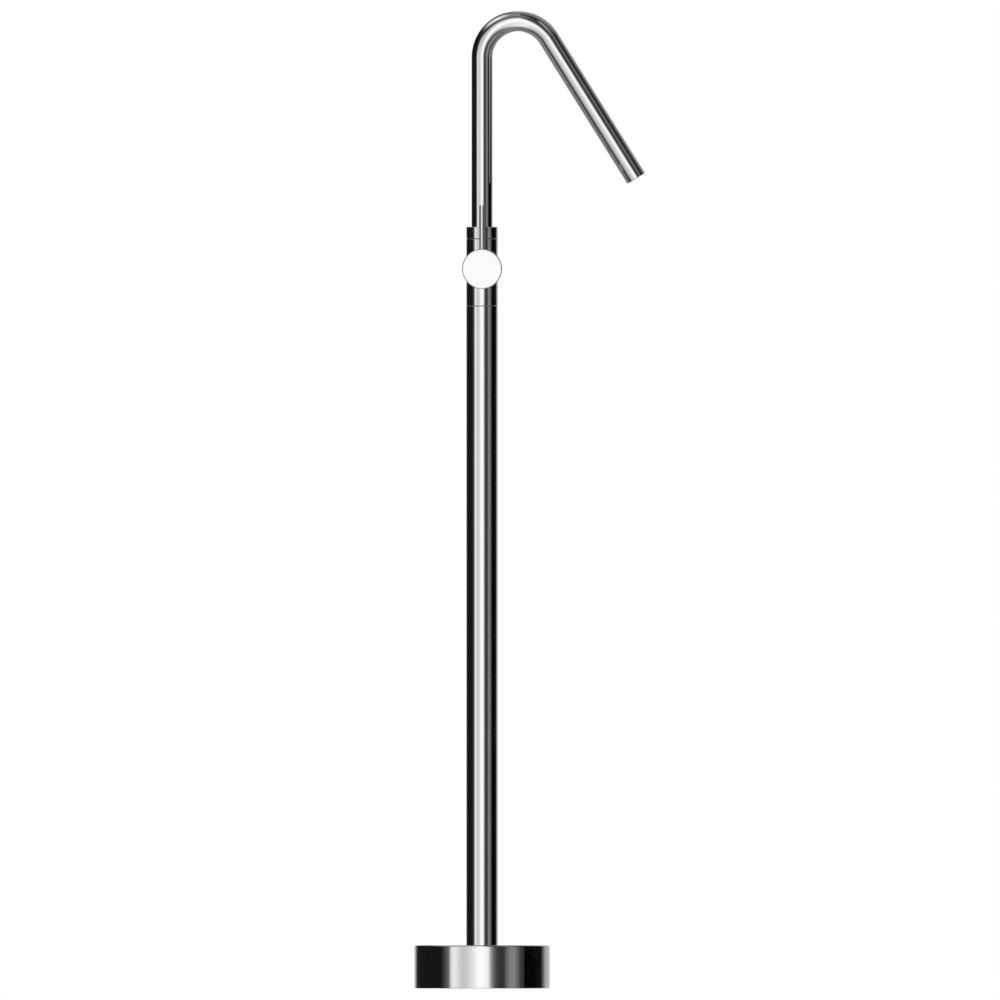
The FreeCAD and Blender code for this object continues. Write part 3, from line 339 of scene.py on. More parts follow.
MARKS = add_marks_group()
RINGS = add_rings_group()
GRAIN = add_grain_group()
print("groups:", MARKS.name, RINGS.name, GRAIN.name)


# %% A material and its shader
def new_material(name, color, metallic, roughness):
    """A material, its tree, its shader with plain values and its Object coordinates."""
    material = bpy.data.materials.new(name)
    material.use_nodes = True
    tree = material.node_tree
    shader = tree.nodes["Principled BSDF"]
    for label, plain in (("Base Color", (*color, 1)), ("Metallic", metallic), ("Roughness", roughness)):
        shader.inputs[label].default_value = plain
    return material, tree, shader, add_node(tree, "TexCoord").outputs["Object"]


def effect(tree, group, point, name, size):
    """The output of one of the three effects at a point, with its size or pitch in metres."""
    return add_node(tree, "Group", {"Point": point, name: size}, node_tree=group).outputs[0]


def spread(tree, mask, clean, marked):
    """A value from clean, where the mask is 0, to marked, where it is 1."""
    return math_node(tree, "MULTIPLY_ADD", mask, marked - clean, clean)


def tint(tree, mask, clean, marked):
    """A colour from clean to marked by a mask. Each is a colour or an output."""
    mix = add_node(tree, "Mix", {"Factor": mask}, data_type="RGBA")
    for label, colour in (("A", clean), ("B", marked)):
        if isinstance(colour, tuple):
            mix.inputs[label].default_value = (*colour, 1)
        else:
            tree.links.new(colour, mix.inputs[label])
    return mix.outputs["Result"]


def stain(tree, shader, point, size, colours, roughness, rougher):
    """Marks of handling on the shader: they change its colour and add to its roughness."""
    marks = effect(tree, MARKS, point, "Size", size)
    tree.links.new(tint(tree, marks, *colours), shader.inputs["Base Color"])
    tree.links.new(spread(tree, marks, roughness, roughness + rougher), shader.inputs["Roughness"])


def bump(tree, shader, height, distance, strength):
    """Feed a height to the shader's normal; distance is the real height of a step."""
    node = add_node(tree, "Bump", {"Height": height, "Distance": distance, "Strength": strength})
    tree.links.new(node.outputs[0], shader.inputs["Normal"])


# %% [markdown]
# ### Polished chrome
#
# Chrome plate is a mirror: metallic, neutral and almost without roughness. What tells a real one is
# that its sharpness isn't quite even, where a cloth or a hand has left a film. Inside the bores the
# plate stops and the turned brass shows. In the narrow slit between two pieces the shade is painted:
# its faces get a near-black, rough colour. Each piece carries two attributes for that, 1 where it is
# bare and 1 where the slit's shade is painted.

# %% Chrome
CHROME = (0.85, 0.85, 0.85)
BRASS = (0.72, 0.53, 0.25)
# painted shade: the near-black colour given to the faces of a slit between two pieces, in place of its
# shadow
SLIT_SHADE = (0.02, 0.02, 0.02)
CLEAN_PLATE, SMEARED_PLATE = 0.03, 0.09  # roughness of the plate
BARE_ROUGHNESS = 0.32
SLIT_SHADE_ROUGHNESS = 0.6


def make_chrome():
    """Mirror plate; smears raise the roughness a little, bare places are satin brass, and in slits a
    near-black, rough colour is painted as their shade.
    """
    material, tree, shader, point = new_material("polished_chrome", CHROME, 1.0, 0.04)
    smears = effect(tree, MARKS, point, "Size", 0.035)
    bare = add_node(tree, "Attribute", {}, attribute_name="bare").outputs["Fac"]
    # painted shade: where a face lies in a slit, the plate is mixed to the near-black, rough slit colour
    slit_shade = add_node(tree, "Attribute", {}, attribute_name="slit_shade").outputs["Fac"]
    colour = tint(tree, slit_shade, tint(tree, bare, CHROME, BRASS), SLIT_SHADE)
    tree.links.new(colour, shader.inputs["Base Color"])
    rough = spread(tree, smears, CLEAN_PLATE, SMEARED_PLATE)
    for mask, roughness in ((bare, BARE_ROUGHNESS), (slit_shade, SLIT_SHADE_ROUGHNESS)):
        rough = math_node(tree, "MAXIMUM", rough, times(tree, mask, roughness))
    tree.links.new(rough, shader.inputs["Roughness"])
    return material


FINISHES = {"chrome": make_chrome()}


# %% [markdown]
# ### Hidden metals, rubber, plastics and ceramic
#
# The pieces inside keep what made them: turned brass and steel show rings, drawn copper shows smears,
# rubber and acetal show the grain of their moulds, and the ceramic discs are lapped almost to a mirror.

# %% Turned and drawn metals
RING_HEIGHT = 0.00001  # metres


def make_metal(name, color, stained, roughness, pitch=None):
    """A bare metal with stains from handling and, where a pitch is given, lathe rings."""
    material, tree, shader, point = new_material(name, color, 1.0, roughness)
    stain(tree, shader, point, 0.012, (color, stained), roughness, 0.25)
    if pitch:
        bump(tree, shader, effect(tree, RINGS, point, "Pitch", pitch), RING_HEIGHT, 0.6)
    return material


FINISHES |= {
    "brass": make_metal("turned_brass", BRASS, (0.50, 0.33, 0.14), 0.24, pitch=0.0004),
    "steel": make_metal("satin_steel", (0.56, 0.56, 0.55), (0.40, 0.39, 0.37), 0.30, pitch=0.0005),
    "copper": make_metal("drawn_copper", (0.72, 0.38, 0.24), (0.45, 0.20, 0.12), 0.22)}


# %% Moulded and lapped pieces
def make_moulding(name, color, dusty, roughness, grain, depth):
    """Rubber, plastic or ceramic: dust in the smears, and the mould's grain as bump."""
    material, tree, shader, point = new_material(name, color, 0.0, roughness)
    stain(tree, shader, point, 0.010, (color, dusty), roughness, 0.15)
    bump(tree, shader, effect(tree, GRAIN, point, "Size", grain), depth, 0.5)
    return material


for slot, name, color, dusty, roughness, grain, depth in (
        ("seal_rubber", "black_rubber", (0.03, 0.03, 0.03), (0.09, 0.09, 0.085), 0.55, 0.0003, 0.00001),
        ("cartridge_plastic", "grey_acetal", (0.62, 0.63, 0.64), (0.52, 0.52, 0.50), 0.42, 0.0004, 0.000008),
        ("bearing_plastic", "white_acetal", (0.86, 0.86, 0.84), (0.74, 0.73, 0.70), 0.38, 0.0004, 0.000006),
        ("ceramic", "lapped_ceramic", (0.90, 0.89, 0.85), (0.82, 0.80, 0.75), 0.14, 0.0002, 0.000002)):
    FINISHES[slot] = make_moulding(name, color, dusty, roughness, grain, depth)
print("finishes:", sorted(FINISHES))

# %% [markdown]
# ## Surfaces from numbers
#
# A mirror shows every flat and every kink of its mesh, so the visible pieces are drawn again as fine
# surfaces of two parameters: one runs along an outline or a path, the other runs round it. The points
# are computed as one array, and the faces join each ring of points to the next.

# %% A skin over rings of points
TURNS = 256  # points round a turned piece
SHARP = math.radians(14)  # faces that meet at more than this keep a crisp edge
SAME_POINT = 1e-7  # metres: points closer than this are one


def close_mesh(piece):
    """Merge points that coincide and, if the enclosed volume is negative, turn all faces outwards."""
    work = bmesh.new()
    work.from_mesh(piece.data)
    bmesh.ops.remove_doubles(work, verts=work.verts, dist=SAME_POINT)
    if work.calc_volume(signed=True) < 0:
        bmesh.ops.reverse_faces(work, faces=work.faces)
    work.to_mesh(piece.data)
    work.free()
    piece.data.shade_smooth()
    piece.data.set_sharp_from_angle(angle=SHARP)


def skin(name, rings, closed=True):
    """Piece whose points are rings[i, j]. Quads join ring i to i + 1 and step j to j + 1, round and
    round. A closed skin also joins its last ring to its first; an open one ends in two poles."""
    count, steps = rings.shape[:2]
    i, j = np.meshgrid(np.arange(count if closed else count - 1), np.arange(steps), indexing="ij")
    above, beside = (i + 1) % count, (j + 1) % steps
    quads = np.stack([i * steps + j, i * steps + beside, above * steps + beside, above * steps + j], axis=-1)
    mesh = bpy.data.meshes.new(name)
    mesh.from_pydata(rings.reshape(-1, 3), [], quads.reshape(-1, 4))
    piece = add_object(name, mesh)
    close_mesh(piece)
    return piece


# %% Outlines
ARC_STEP = math.radians(9)
SUPPORT = 0.04 * MM  # an extra ring this close to a rounded edge keeps long faces flat
PER_TURN = 8  # rings of points to a turn of a thread
THREAD_DEPTH = 0.6  # of the pitch


def arc(centre, radius, start, end, step=ARC_STEP):
    """Points (radius, height) of an arc: centre + radius * (cos a, sin a), a from start to end degrees."""
    count = max(2, int(abs(math.radians(end - start)) / step) + 2)
    angle = np.radians(np.linspace(start, end, count))
    return np.stack([centre[0] + radius * np.cos(angle), centre[1] + radius * np.sin(angle)], axis=1)


def thread_run(radius, start, end, pitch):
    """Points (radius, height) along a threaded run, PER_TURN to a turn of the thread."""
    count = max(2, round(PER_TURN * abs(end - start) / pitch)) + 1
    return np.stack([np.full(count, float(radius)), np.linspace(start, end, count)], axis=1)


def rounded(*parts):
    """Outline in metres from corners (radius, height) or (radius, height, rounding) in millimetres and
    from arcs. A rounding is the arc that touches both runs: it starts r / tan(half the corner) away
    from the corner, about a centre on the bisector at r / sin(half the corner)."""
    corners = []
    for part in parts:
        rows = np.atleast_2d(np.array(part, float)) * MM
        corners += [(row[:2], row[2] if row.size > 2 else 0.0) for row in rows]
    points = []
    for number, (corner, rounding) in enumerate(corners):
        if rounding == 0:
            points.append(corner[None])
            continue
        back = corners[number - 1][0] - corner
        ahead = corners[(number + 1) % len(corners)][0] - corner
        back, ahead = back / np.linalg.norm(back), ahead / np.linalg.norm(ahead)
        half = math.acos(float(np.clip(back @ ahead, -1, 1))) / 2
        reach = rounding / math.tan(half)
        bisector = (back + ahead) / np.linalg.norm(back + ahead)
        centre = corner + bisector * rounding / math.sin(half)
        first, last = corner + back * reach - centre, corner + ahead * reach - centre
        sweep = math.pi - 2 * half
        share = np.linspace(0, 1, max(3, int(sweep / ARC_STEP) + 2))[:, None]
        bow = (np.sin((1 - share) * sweep) * first + np.sin(share * sweep) * last) / math.sin(sweep)
        before, after = corner + back * (reach + SUPPORT), corner + ahead * (reach + SUPPORT)
        points += [before[None], centre + bow, after[None]]
    return np.vstack(points)


# %% Turned pieces
def with_thread(radius, height, angle, crest, start, end, pitch):
    """Radius with a thread cut between two heights: crest - depth * |2 * part(height / pitch +
    angle / 2 pi) - 1|, where part is what lies beyond the point. A lead-in of 45 degrees at both ends
    takes the crest down to the root."""
    ridge = np.abs(2 * np.mod(height / pitch + angle / (2 * np.pi), 1) - 1)
    depth = THREAD_DEPTH * pitch
    from_end = np.minimum(height - start, end - height)
    cut = np.maximum(depth * ridge, depth - from_end)
    threaded = (np.abs(radius - crest) < SAME_POINT) & (from_end > -SAME_POINT)
    return np.where(threaded, radius - cut, radius)


def turned(name, outline, centre=(0, 0, 0), axis=(0, 0, 1), closed=True, steps=TURNS, thread=None):
    """The outline (radius, height) carried round an axis: centre + height * axis + radius *
    (cos a * side + sin a * across), where side and across are square to the axis. A thread is its
    crest's radius, its start, end and pitch in millimetres."""
    axis = np.array(axis, float)
    side = np.cross(axis, (0, 1, 0) if abs(axis[1]) < 0.9 else (1, 0, 0))
    side /= np.linalg.norm(side)
    across = np.cross(axis, side)
    angle = np.linspace(0, 2 * np.pi, steps, endpoint=False)[None, :]
    radius, height = outline[:, 0, None], outline[:, 1, None]
    if thread is not None:
        radius = with_thread(radius, height, angle, *(number * MM for number in thread))
    spokes = np.cos(angle)[..., None] * side + np.sin(angle)[..., None] * across
    return skin(name, np.array(centre) + height[..., None] * axis + radius[..., None] * spokes, closed)


# %% [markdown]
# Holes across a turned piece, a neck on a body: these meet in curves that no single outline gives.
# An exact Boolean works them out, and its result replaces the mesh at once.

# %% Joining and cutting
def rod(radius, start, end, centre=(0, 0, 0), axis=(0, 0, 1), steps=96):
    """A plain round tool in millimetres along an axis, from start to end."""
    outline = rounded((0, start), (radius, start), (radius, end), (0, end))
    return turned("tool", outline, centre, axis, closed=False, steps=steps)


def block(first, last):
    """A square tool between two opposite corners in metres."""
    x, y, z = (np.array(pair) for pair in zip(first, last))
    corner = np.array([(x[i], y[j], z[k]) for k in (0, 1) for i, j in ((0, 0), (1, 0), (1, 1), (0, 1))])
    rings = corner.reshape(2, 4, 3)
    middles = rings.mean(axis=1, keepdims=True).repeat(4, axis=1)
    return skin("tool", np.concatenate([middles[:1], rings, middles[1:]]), closed=False)


def shape(piece, how, tools):
    """Join or cut with the tools by exact Booleans, keep the result as the mesh and drop the tools."""
    for tool in tools:
        step = piece.modifiers.new("step", "BOOLEAN")
        step.operation, step.object, step.solver = how, tool, "EXACT"
    bpy.context.view_layer.update()
    graph = bpy.context.evaluated_depsgraph_get()
    result = bpy.data.meshes.new_from_object(piece.evaluated_get(graph))
    piece.modifiers.clear()
    piece.data = result
    for tool in tools:
        bpy.data.objects.remove(tool)
    close_mesh(piece)


# %% Putting a piece in its place
def nowhere(x, y, z):
    """False for every face."""
    return np.zeros(len(x), bool)


def settle(piece, body, node, bare=nowhere, slit_shade=nowhere, finish="chrome"):
    """The piece stands for a CAD node, rides on its body and takes a finish. bare tells where the plate
    stops, and the mask after it where the shade in a seam's slit is painted dark: arrays over the faces,
    or tests on their middles in millimetres."""
    middles = np.zeros(len(piece.data.polygons) * 3)
    piece.data.polygons.foreach_get("center", middles)
    for name, where in (("bare", bare), ("slit_shade", slit_shade)):
        faces = where(*middles.reshape(-1, 3).T / MM) if callable(where) else where
        layer = piece.data.attributes.new(name, "FLOAT", "FACE")
        layer.data.foreach_set("value", np.asarray(faces, np.float32))
    piece.data.materials.clear()
    piece.data.materials.append(FINISHES[finish])
    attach(piece, body)
    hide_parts(node)
    corners = np.array(piece.bound_box)
    cad = np.array(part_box(node))
    off = max(abs(corners.min(0) - cad[0]).max(), abs(corners.max(0) - cad[1]).max()) / MM
    print(f"{piece.name}: {len(piece.data.polygons)} faces, {off:.3f} mm off the node's box")


# %% [markdown]
# ## Measures from the frame
#
# The nodes' boxes give the sizes and places that the pieces keep. What no box shows, such as a wall, a
# groove or a rounding, is a value of its own. All are in millimetres.

# %% Reading the frame
X, Y, Z = range(3)


def low(node, axis):
    """Where a node's box starts along an axis."""
    return round(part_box(node)[0][axis] / MM, 3)


def high(node, axis):
    """Where a node's box ends along an axis."""
    return round(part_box(node)[1][axis] / MM, 3)


def middle(node, axis):
    """The middle of a node's box along an axis."""
    return round((low(node, axis) + high(node, axis)) / 2, 2)


def at(x=0, y=0, z=0):
    """A place in millimetres as a point in metres."""
    return x * MM, y * MM, z * MM


# %% Measures that several pieces share
FIT = 0.05  # gap of a fitted pair, on the radius
COLUMN = high("column_tube", X)  # radius of the column and of all that continues it
LOWER_SEAM = high("column_tube", Z)  # between the column and the valve body
UPPER_SEAM = high("valve_body", Z)  # between the valve body and the collar
AXIS = middle("handle_hub", Z)  # height of the handle's axis
SUPPLY = middle("cold_supply_tube", X)  # from the column's axis to each supply tube
SPOUT = high("aerator_housing", Y)  # outer radius of the spout
SPOUT_WALL = 1.5
GROOVE_HALF = 1.35  # half the height of a small seal's groove
SEAM_EDGE = 0.6  # rounding on both sides of a seam
SLIT_DEPTH = COLUMN - 0.85  # radius at which the slit of a seam ends
SLIT_BELOW = 0.25  # how far a slit opens below its seam
FORWARD = (0, -1, 0)
BACKWARD = (0, 1, 0)
lever_axis = at(z=AXIS)
fixing_level = middle("column_fixing_screw", Z)
stop_level = middle("spout_stop_screw", Z)
print(f"column {COLUMN}, seams {LOWER_SEAM} and {UPPER_SEAM}, handle's axis {AXIS}, spout {SPOUT}")

# %% [markdown]
# ## The floor cover
#
# A deep round cap that hides the plate and the screws. On the real one it is spun or turned, with a
# hand-sized radius round its top edge and a seal where the column passes through. One outline, carried
# round the column's axis, gives all of it, with the groove of the seal inside its boss.

# %% Floor cover
COVER = high("base_cover", X)
COVER_WALL = 2
COVER_INSIDE = COVER - COVER_WALL
COVER_RISE = 0.15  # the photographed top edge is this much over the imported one
COVER_HOLE = COLUMN + 0.4
BOSS = 25
BOSS_HEIGHT = 9
COVER_GROOVE = high("base_cover_seal", X) + FIT
COVER_GROOVE_HALF = 1.8

cover_top = high("base_cover", Z)
cover_edge = cover_top + COVER_RISE
boss_foot = cover_top - BOSS_HEIGHT
under_top = cover_top - COVER_WALL
seal = middle("base_cover_seal", Z)
cover = turned("floor_cover_shell", rounded(
    (COVER_INSIDE, 0), (COVER, 0, 0.8), (COVER, cover_edge, 2), (COVER_HOLE, cover_edge, 0.3),
    (COVER_HOLE, seal + COVER_GROOVE_HALF), (COVER_GROOVE, seal + COVER_GROOVE_HALF),
    (COVER_GROOVE, seal - COVER_GROOVE_HALF), (COVER_HOLE, seal - COVER_GROOVE_HALF),
    (COVER_HOLE, boss_foot, 0.3), (BOSS, boss_foot, 0.5), (BOSS, under_top), (COVER_INSIDE, under_top, 2)))
settle(cover, "column", "base_cover",
       lambda x, y, z: (np.hypot(x, y) < COVER_INSIDE + 0.2) & (z < cover_top - 1))

# %% [markdown]
# ## The column
#
# One straight tube, 38.1 mm across, from the inlet block up to the valve body. Its upper end is rounded
# and a slit is left above it, so the joint shows as a fine line, whose shade is painted on the valve
# body's step above it. A hole at the back takes the fixing screw.

# %% Column
COLUMN_BORE = COLUMN - 1.5
BACK_SCREW = 2.5  # radius of the screws at the back

column_foot = low("column_tube", Z)
column_top = LOWER_SEAM - SLIT_BELOW
column = turned("column_pipe", rounded(
    (COLUMN_BORE, column_foot), (COLUMN, column_foot, 0.2), (COLUMN, column_top, SEAM_EDGE),
    (COLUMN_BORE, column_top)))
shape(column, "DIFFERENCE", [rod(BACK_SCREW + FIT, 16, 22, at(z=fixing_level), BACKWARD)])
settle(column, "column", "column_tube", lambda x, y, z: np.hypot(x, y) < COLUMN - 0.65)

# %% [markdown]
# ## The valve body
#
# A brass casting, turned and plated: it carries the column's line on between two seams, has a spigot in
# the column below, the socket of the spout above, and a neck in front for the cartridge. The body is one
# outline with the spout's socket in it. The neck is joined to it, then bores and waterways are cut. Under
# the body a step closes the slit of the seam, and on top of it stands a low ledge that the collar's lip
# passes outside, so that no light shows through. The shade in those slits is painted: the step and the
# ledge get a near-black, rough colour.

# %% Outline of the valve body
SPIGOT = COLUMN_BORE - FIT
SPIGOT_GROOVE = SPIGOT - 1.85
LEAD_IN = 0.8
STEP = 0.1  # the body's foot above its seam
LEDGE = 17.9  # radius of the ledge on top
LEDGE_HEIGHT = 0.15
RECESS = high("spout_bearing_ring", X) + FIT
SWIVEL = high("spout_spigot", X) + FIT

spigot_foot = low("valve_body", Z)
spigot_seal = middle("valve_body_seal", Z)
body_top = UPPER_SEAM - LEDGE_HEIGHT
recess_floor = low("spout_bearing_ring", Z)
socket_floor = low("spout_spigot", Z) - 0.5
valve = turned("valve_casting", rounded(
    (0, spigot_foot), (SPIGOT - LEAD_IN, spigot_foot), (SPIGOT, spigot_foot + LEAD_IN),
    (SPIGOT, spigot_seal - GROOVE_HALF), (SPIGOT_GROOVE, spigot_seal - GROOVE_HALF),
    (SPIGOT_GROOVE, spigot_seal + GROOVE_HALF), (SPIGOT, spigot_seal + GROOVE_HALF),
    (SPIGOT, column_top), (SLIT_DEPTH, column_top), (SLIT_DEPTH, LOWER_SEAM + STEP),
    (COLUMN, LOWER_SEAM + STEP, SEAM_EDGE), (COLUMN, body_top, SEAM_EDGE), (LEDGE, body_top),
    (LEDGE, UPPER_SEAM), (RECESS, UPPER_SEAM), (RECESS, recess_floor),
    (SWIVEL, recess_floor), (SWIVEL, socket_floor), (0, socket_floor)), closed=False)

# %% Neck, bores and waterways of the valve body
NECK = high("cartridge_cap", X)
NUT_THREAD = 16
NUT_MOUNT = NUT_THREAD + FIT
CARTRIDGE = high("cartridge_base", X) + FIT
SUPPLY_SOCKET = 5 + FIT
SUPPLY_SEAL = 0.9  # half the thickness of a supply tube's seal
WATERWAY = 3.5
INLET = 2.2
INLET_SIDE = 5.3
OUTLET = 2.8
OUTLET_RISER = 4.5
RISER_SETBACK = 6  # the riser to the spout stands behind the column's axis

neck_end = -low("valve_body", Y)
seat_start = -high("cartridge_base", Y)
nut_start = -high("cartridge_nut", Y)
inlet_level = AXIS + 4.4
outlet_level = AXIS - 2.6
supply_seal = high("supply_tube_seals", Z) - SUPPLY_SEAL
shape(valve, "UNION", [rod(NECK, 0, neck_end, lever_axis, FORWARD, TURNS)])
seat = turned("tool", rounded(
    (0, seat_start), (CARTRIDGE, seat_start), (CARTRIDGE, nut_start - 0.3), (NUT_MOUNT, nut_start - 0.3),
    (NUT_MOUNT, neck_end + 1.7), (0, neck_end + 1.7)), lever_axis, FORWARD, closed=False, steps=TURNS)
tools = [seat, rod(OUTLET_RISER, outlet_level, socket_floor + 1, at(y=RISER_SETBACK)),
         rod(OUTLET, -RISER_SETBACK, seat_start + 1, at(z=outlet_level), FORWARD)]
for side in (-1, 1):
    foot = at(side * SUPPLY)
    tools += [rod(SUPPLY_SOCKET, spigot_foot - 1, spigot_foot + 11, foot),
              rod(SUPPLY_SOCKET + 1.8, supply_seal - GROOVE_HALF, supply_seal + GROOVE_HALF, foot),
              rod(WATERWAY, spigot_foot + 10, inlet_level + 3, foot),
              rod(INLET, 0, seat_start + 1, at(side * INLET_SIDE, 0, inlet_level), FORWARD)]
tools += [rod(BACK_SCREW, start, 20, at(z=level), BACKWARD)
          for start, level in ((11.55, fixing_level), (12.2, stop_level))]
shape(valve, "DIFFERENCE", tools)


# %% Finish of the valve body
def inside_valve(x, y, z):
    """True for the faces of bores and of the hidden spigot."""
    depth = np.hypot(x, z - AXIS)
    skin_of_body = (np.hypot(x, y) > SLIT_DEPTH - 0.1) & (z > column_top - 0.05)
    skin_of_neck = (depth > NECK - 0.2) & (y < 0) | (y < -neck_end + 0.1) & (depth > NUT_THREAD)
    return ~(skin_of_body | skin_of_neck)


def slit_shade_of_valve(x, y, z):
    """True for the step under the body and the ledge on top of it, where the slits' shade is painted."""
    radius = np.hypot(x, y)
    step = (z < LOWER_SEAM + 0.2) & (radius > SPIGOT + 0.1) & (radius < SLIT_DEPTH + 0.4)
    ledge = (z > UPPER_SEAM - 0.2) & (radius < SLIT_DEPTH + 0.4)
    return step | ledge


settle(valve, "column", "valve_body", inside_valve, slit_shade_of_valve)

# %% [markdown]
# ## The cap over the cartridge
#
# The handle hides a chromed dome with a round opening, in which the lever's stem moves. It is a sleeve
# that turns into part of a ball about the lever's pivot, so the gap to the handle stays even as it tilts.

# %% Cap
PIVOT = -middle("stem_pivot_pin", Y)  # from the column's axis to the lever's pivot
OPENING = 12
DOME_INSIDE = NECK - 1.5
NUT_COLLAR = high("cartridge_nut", X)

nut_end = -low("cartridge_nut", Y)
sleeve = NUT_COLLAR + FIT
rim_angle = math.degrees(math.acos(OPENING / NECK))
inner_angle = math.degrees(math.acos(OPENING / DOME_INSIDE))
rim_out, rim_in = (PIVOT + round(math.sqrt(ball ** 2 - OPENING ** 2), 2) for ball in (NECK, DOME_INSIDE))
cap = turned("cartridge_dome", rounded(
    (sleeve, neck_end + FIT), (NECK, neck_end + FIT, 0.15), arc((0, PIVOT), NECK, 0, rim_angle - 1.5),
    (OPENING, rim_out, 0.3), (OPENING, rim_in), arc((0, PIVOT), DOME_INSIDE, inner_angle, 3.6),
    (sleeve, nut_end + FIT)), lever_axis, FORWARD)
settle(cap, "column", "cartridge_cap",
       lambda x, y, z: np.sqrt(x ** 2 + (y + PIVOT) ** 2 + (z - AXIS) ** 2) < DOME_INSIDE + 0.5)

# %% [markdown]
# ## The handle
#
# A round cup, turned from the solid, with a boss for the cartridge's stem and a pad for the lever pin.
# Seen from the front only its flat face shows, with a narrow rounded edge that turns the mirror quickly
# from white to black: that is the grey ring round the disc in the photograph.

# %% Handle
HANDLE = high("handle_hub", X)
HANDLE_WALL = 2.5
HANDLE_BOSS = 7
HANDLE_EDGE = 1.35  # gives the ring its photographed width
PIN = high("lever_pin", X)
PIN_THREAD = 2.5
PAD = 4.5
HANDLE_SCREW = 2

face = -low("handle_hub", Y)
rim_plane = -high("handle_hub", Y)
inside_face = face - HANDLE_WALL
boss_end = inside_face - 5
cup_radius = HANDLE - HANDLE_WALL
pin_foot = at(y=middle("lever_pin", Y), z=AXIS)
screw_foot = at(y=middle("handle_grub_screw", Y), z=AXIS)
handle = turned("handle_cup", rounded(
    (0, boss_end), (HANDLE_BOSS, boss_end, 0.3), (HANDLE_BOSS, inside_face), (cup_radius, inside_face, 1),
    (cup_radius, rim_plane, 0.3), (HANDLE, rim_plane, 0.3), (HANDLE, face, HANDLE_EDGE), (0, face)),
    lever_axis, FORWARD, closed=False)
shape(handle, "UNION", [rod(PAD, 16.5, HANDLE - 1.25, pin_foot)])
stem_width = high("cartridge_stem", X) + FIT
stem_height = high("cartridge_stem", Z) - AXIS + FIT
stem_hole = block(at(-stem_width, low("cartridge_stem", Y) - FIT, AXIS - stem_height),
                  at(stem_width, 0.5 - boss_end, AXIS + stem_height))
shape(handle, "DIFFERENCE", [
    rod(PIN + FIT, HANDLE - 0.5, HANDLE + 1, pin_foot), rod(PIN_THREAD, 16, HANDLE, pin_foot), stem_hole,
    rod(HANDLE_SCREW, -HANDLE - 1, 0, screw_foot)])
settle(handle, "lever", "handle_hub",
       lambda x, y, z: (np.hypot(x, z - AXIS) < HANDLE_BOSS + 0.5) & (y > 1 - face))

# %% [markdown]
# ## The lever pin
#
# A ground rod, screwed into the pad from above. Its free end has a small radius, and its threaded stub
# is hidden in the handle.

# %% Lever pin
PIN_NECK = 2  # radius of the undercut above the thread

stub_end = round(low("lever_pin", Z) - AXIS, 3)
pin_seat = HANDLE - 0.5
pin_top = round(high("lever_pin", Z) - AXIS, 3)
stub = (PIN_THREAD - FIT, stub_end, pin_seat - 0.3, 0.8)
pin = turned("lever_rod", rounded(
    (0, stub_end), thread_run(*stub), (PIN_NECK, pin_seat - 0.3), (PIN_NECK, pin_seat), (PIN, pin_seat, 0.1),
    (PIN, pin_top, 0.4), (0, pin_top)), pin_foot, closed=False, steps=128, thread=stub)
settle(pin, "lever", "lever_pin", lambda x, y, z: z < AXIS + pin_seat - 0.1)

# %% [markdown]
# ## The spout and its collar
#
# The collar turns with the spout and repeats the column's diameter, so the swivel joint looks like the
# seam below it. A thin lip at its foot reaches down round the valve body's ledge and closes the gap in
# which the collar turns. The spout is one tube, bent once over a former: it runs straight up, over an arc
# of 148 degrees and straight down at 32 degrees from the vertical. Its skin is a circle carried along
# that line. Every ring lies in the plane square to the line, which is known exactly at each station.

# %% Collar
LIP = 17.95  # inner radius of the lip
LIP_DROP = 0.1  # how far the lip reaches below the seam
COLLAR_FOOT = 0.2  # the collar's foot above the seam
COLLAR_RISE = 0.25  # the photographed top edge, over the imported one
COLLAR_BORE = SPOUT + FIT
TUBE_SEAT = 3  # the tube stands this far above the seam

gap = round(low("spout_collar", Z) - UPPER_SEAM, 3)
collar_top = round(high("spout_collar", Z) - UPPER_SEAM, 3) + COLLAR_RISE
collar = turned("collar_sleeve", rounded(
    (SWIVEL, gap), (LIP, gap), (LIP, -LIP_DROP), (SLIT_DEPTH, -LIP_DROP), (SLIT_DEPTH, COLLAR_FOOT),
    (COLUMN, COLLAR_FOOT, SEAM_EDGE), (COLUMN, collar_top, SEAM_EDGE), (COLLAR_BORE, collar_top, 0.15),
    (COLLAR_BORE, TUBE_SEAT), (SWIVEL, TUBE_SEAT)), at(z=UPPER_SEAM))
# painted shade: the collar's lowest faces, where its lip meets the valve body's ledge, get the near-black
# slit colour
settle(collar, "spout", "spout_collar", lambda x, y, z: np.hypot(x, y) < SWIVEL + 0.95,
       lambda x, y, z: (z < UPPER_SEAM + gap + 0.05) & (np.hypot(x, y) < SLIT_DEPTH + 0.4))

# %% Spout
BEND = 43.3 * MM  # radius of the bend, on the centre line
SLANT = math.radians(32)  # slanted leg, from the vertical
FALL = 199  # length of the slanted leg
TIP_RIM = 1.2  # part of it that the rim takes up
BEND_START = (UPPER_SEAM + 218.3) * MM
BEND_STEPS = 84


def spout_line():
    """Stations of the centre line and the direction at each. The bend's are centre + BEND *
    (-cos a, sin a) in the plane of x and z, a from 0 to 180 degrees less the slant; extra stations
    lie just outside the bend on both straight runs."""
    angle = np.linspace(0, math.pi - SLANT, BEND_STEPS + 1)
    bend = np.stack([BEND - BEND * np.cos(angle), 0 * angle, BEND_START + BEND * np.sin(angle)], axis=1)
    along = np.stack([np.sin(angle), 0 * angle, np.cos(angle)], axis=1)
    foot = np.array([at(z=UPPER_SEAM + TUBE_SEAT), (0, 0, BEND_START - SUPPORT)])
    fall = bend[-1] + along[-1] * np.array([[SUPPORT], [(FALL - TIP_RIM) * MM]])
    return np.vstack([foot, bend, fall]), np.vstack([along[:1], along[:1], along, along[-1:], along[-1:]])


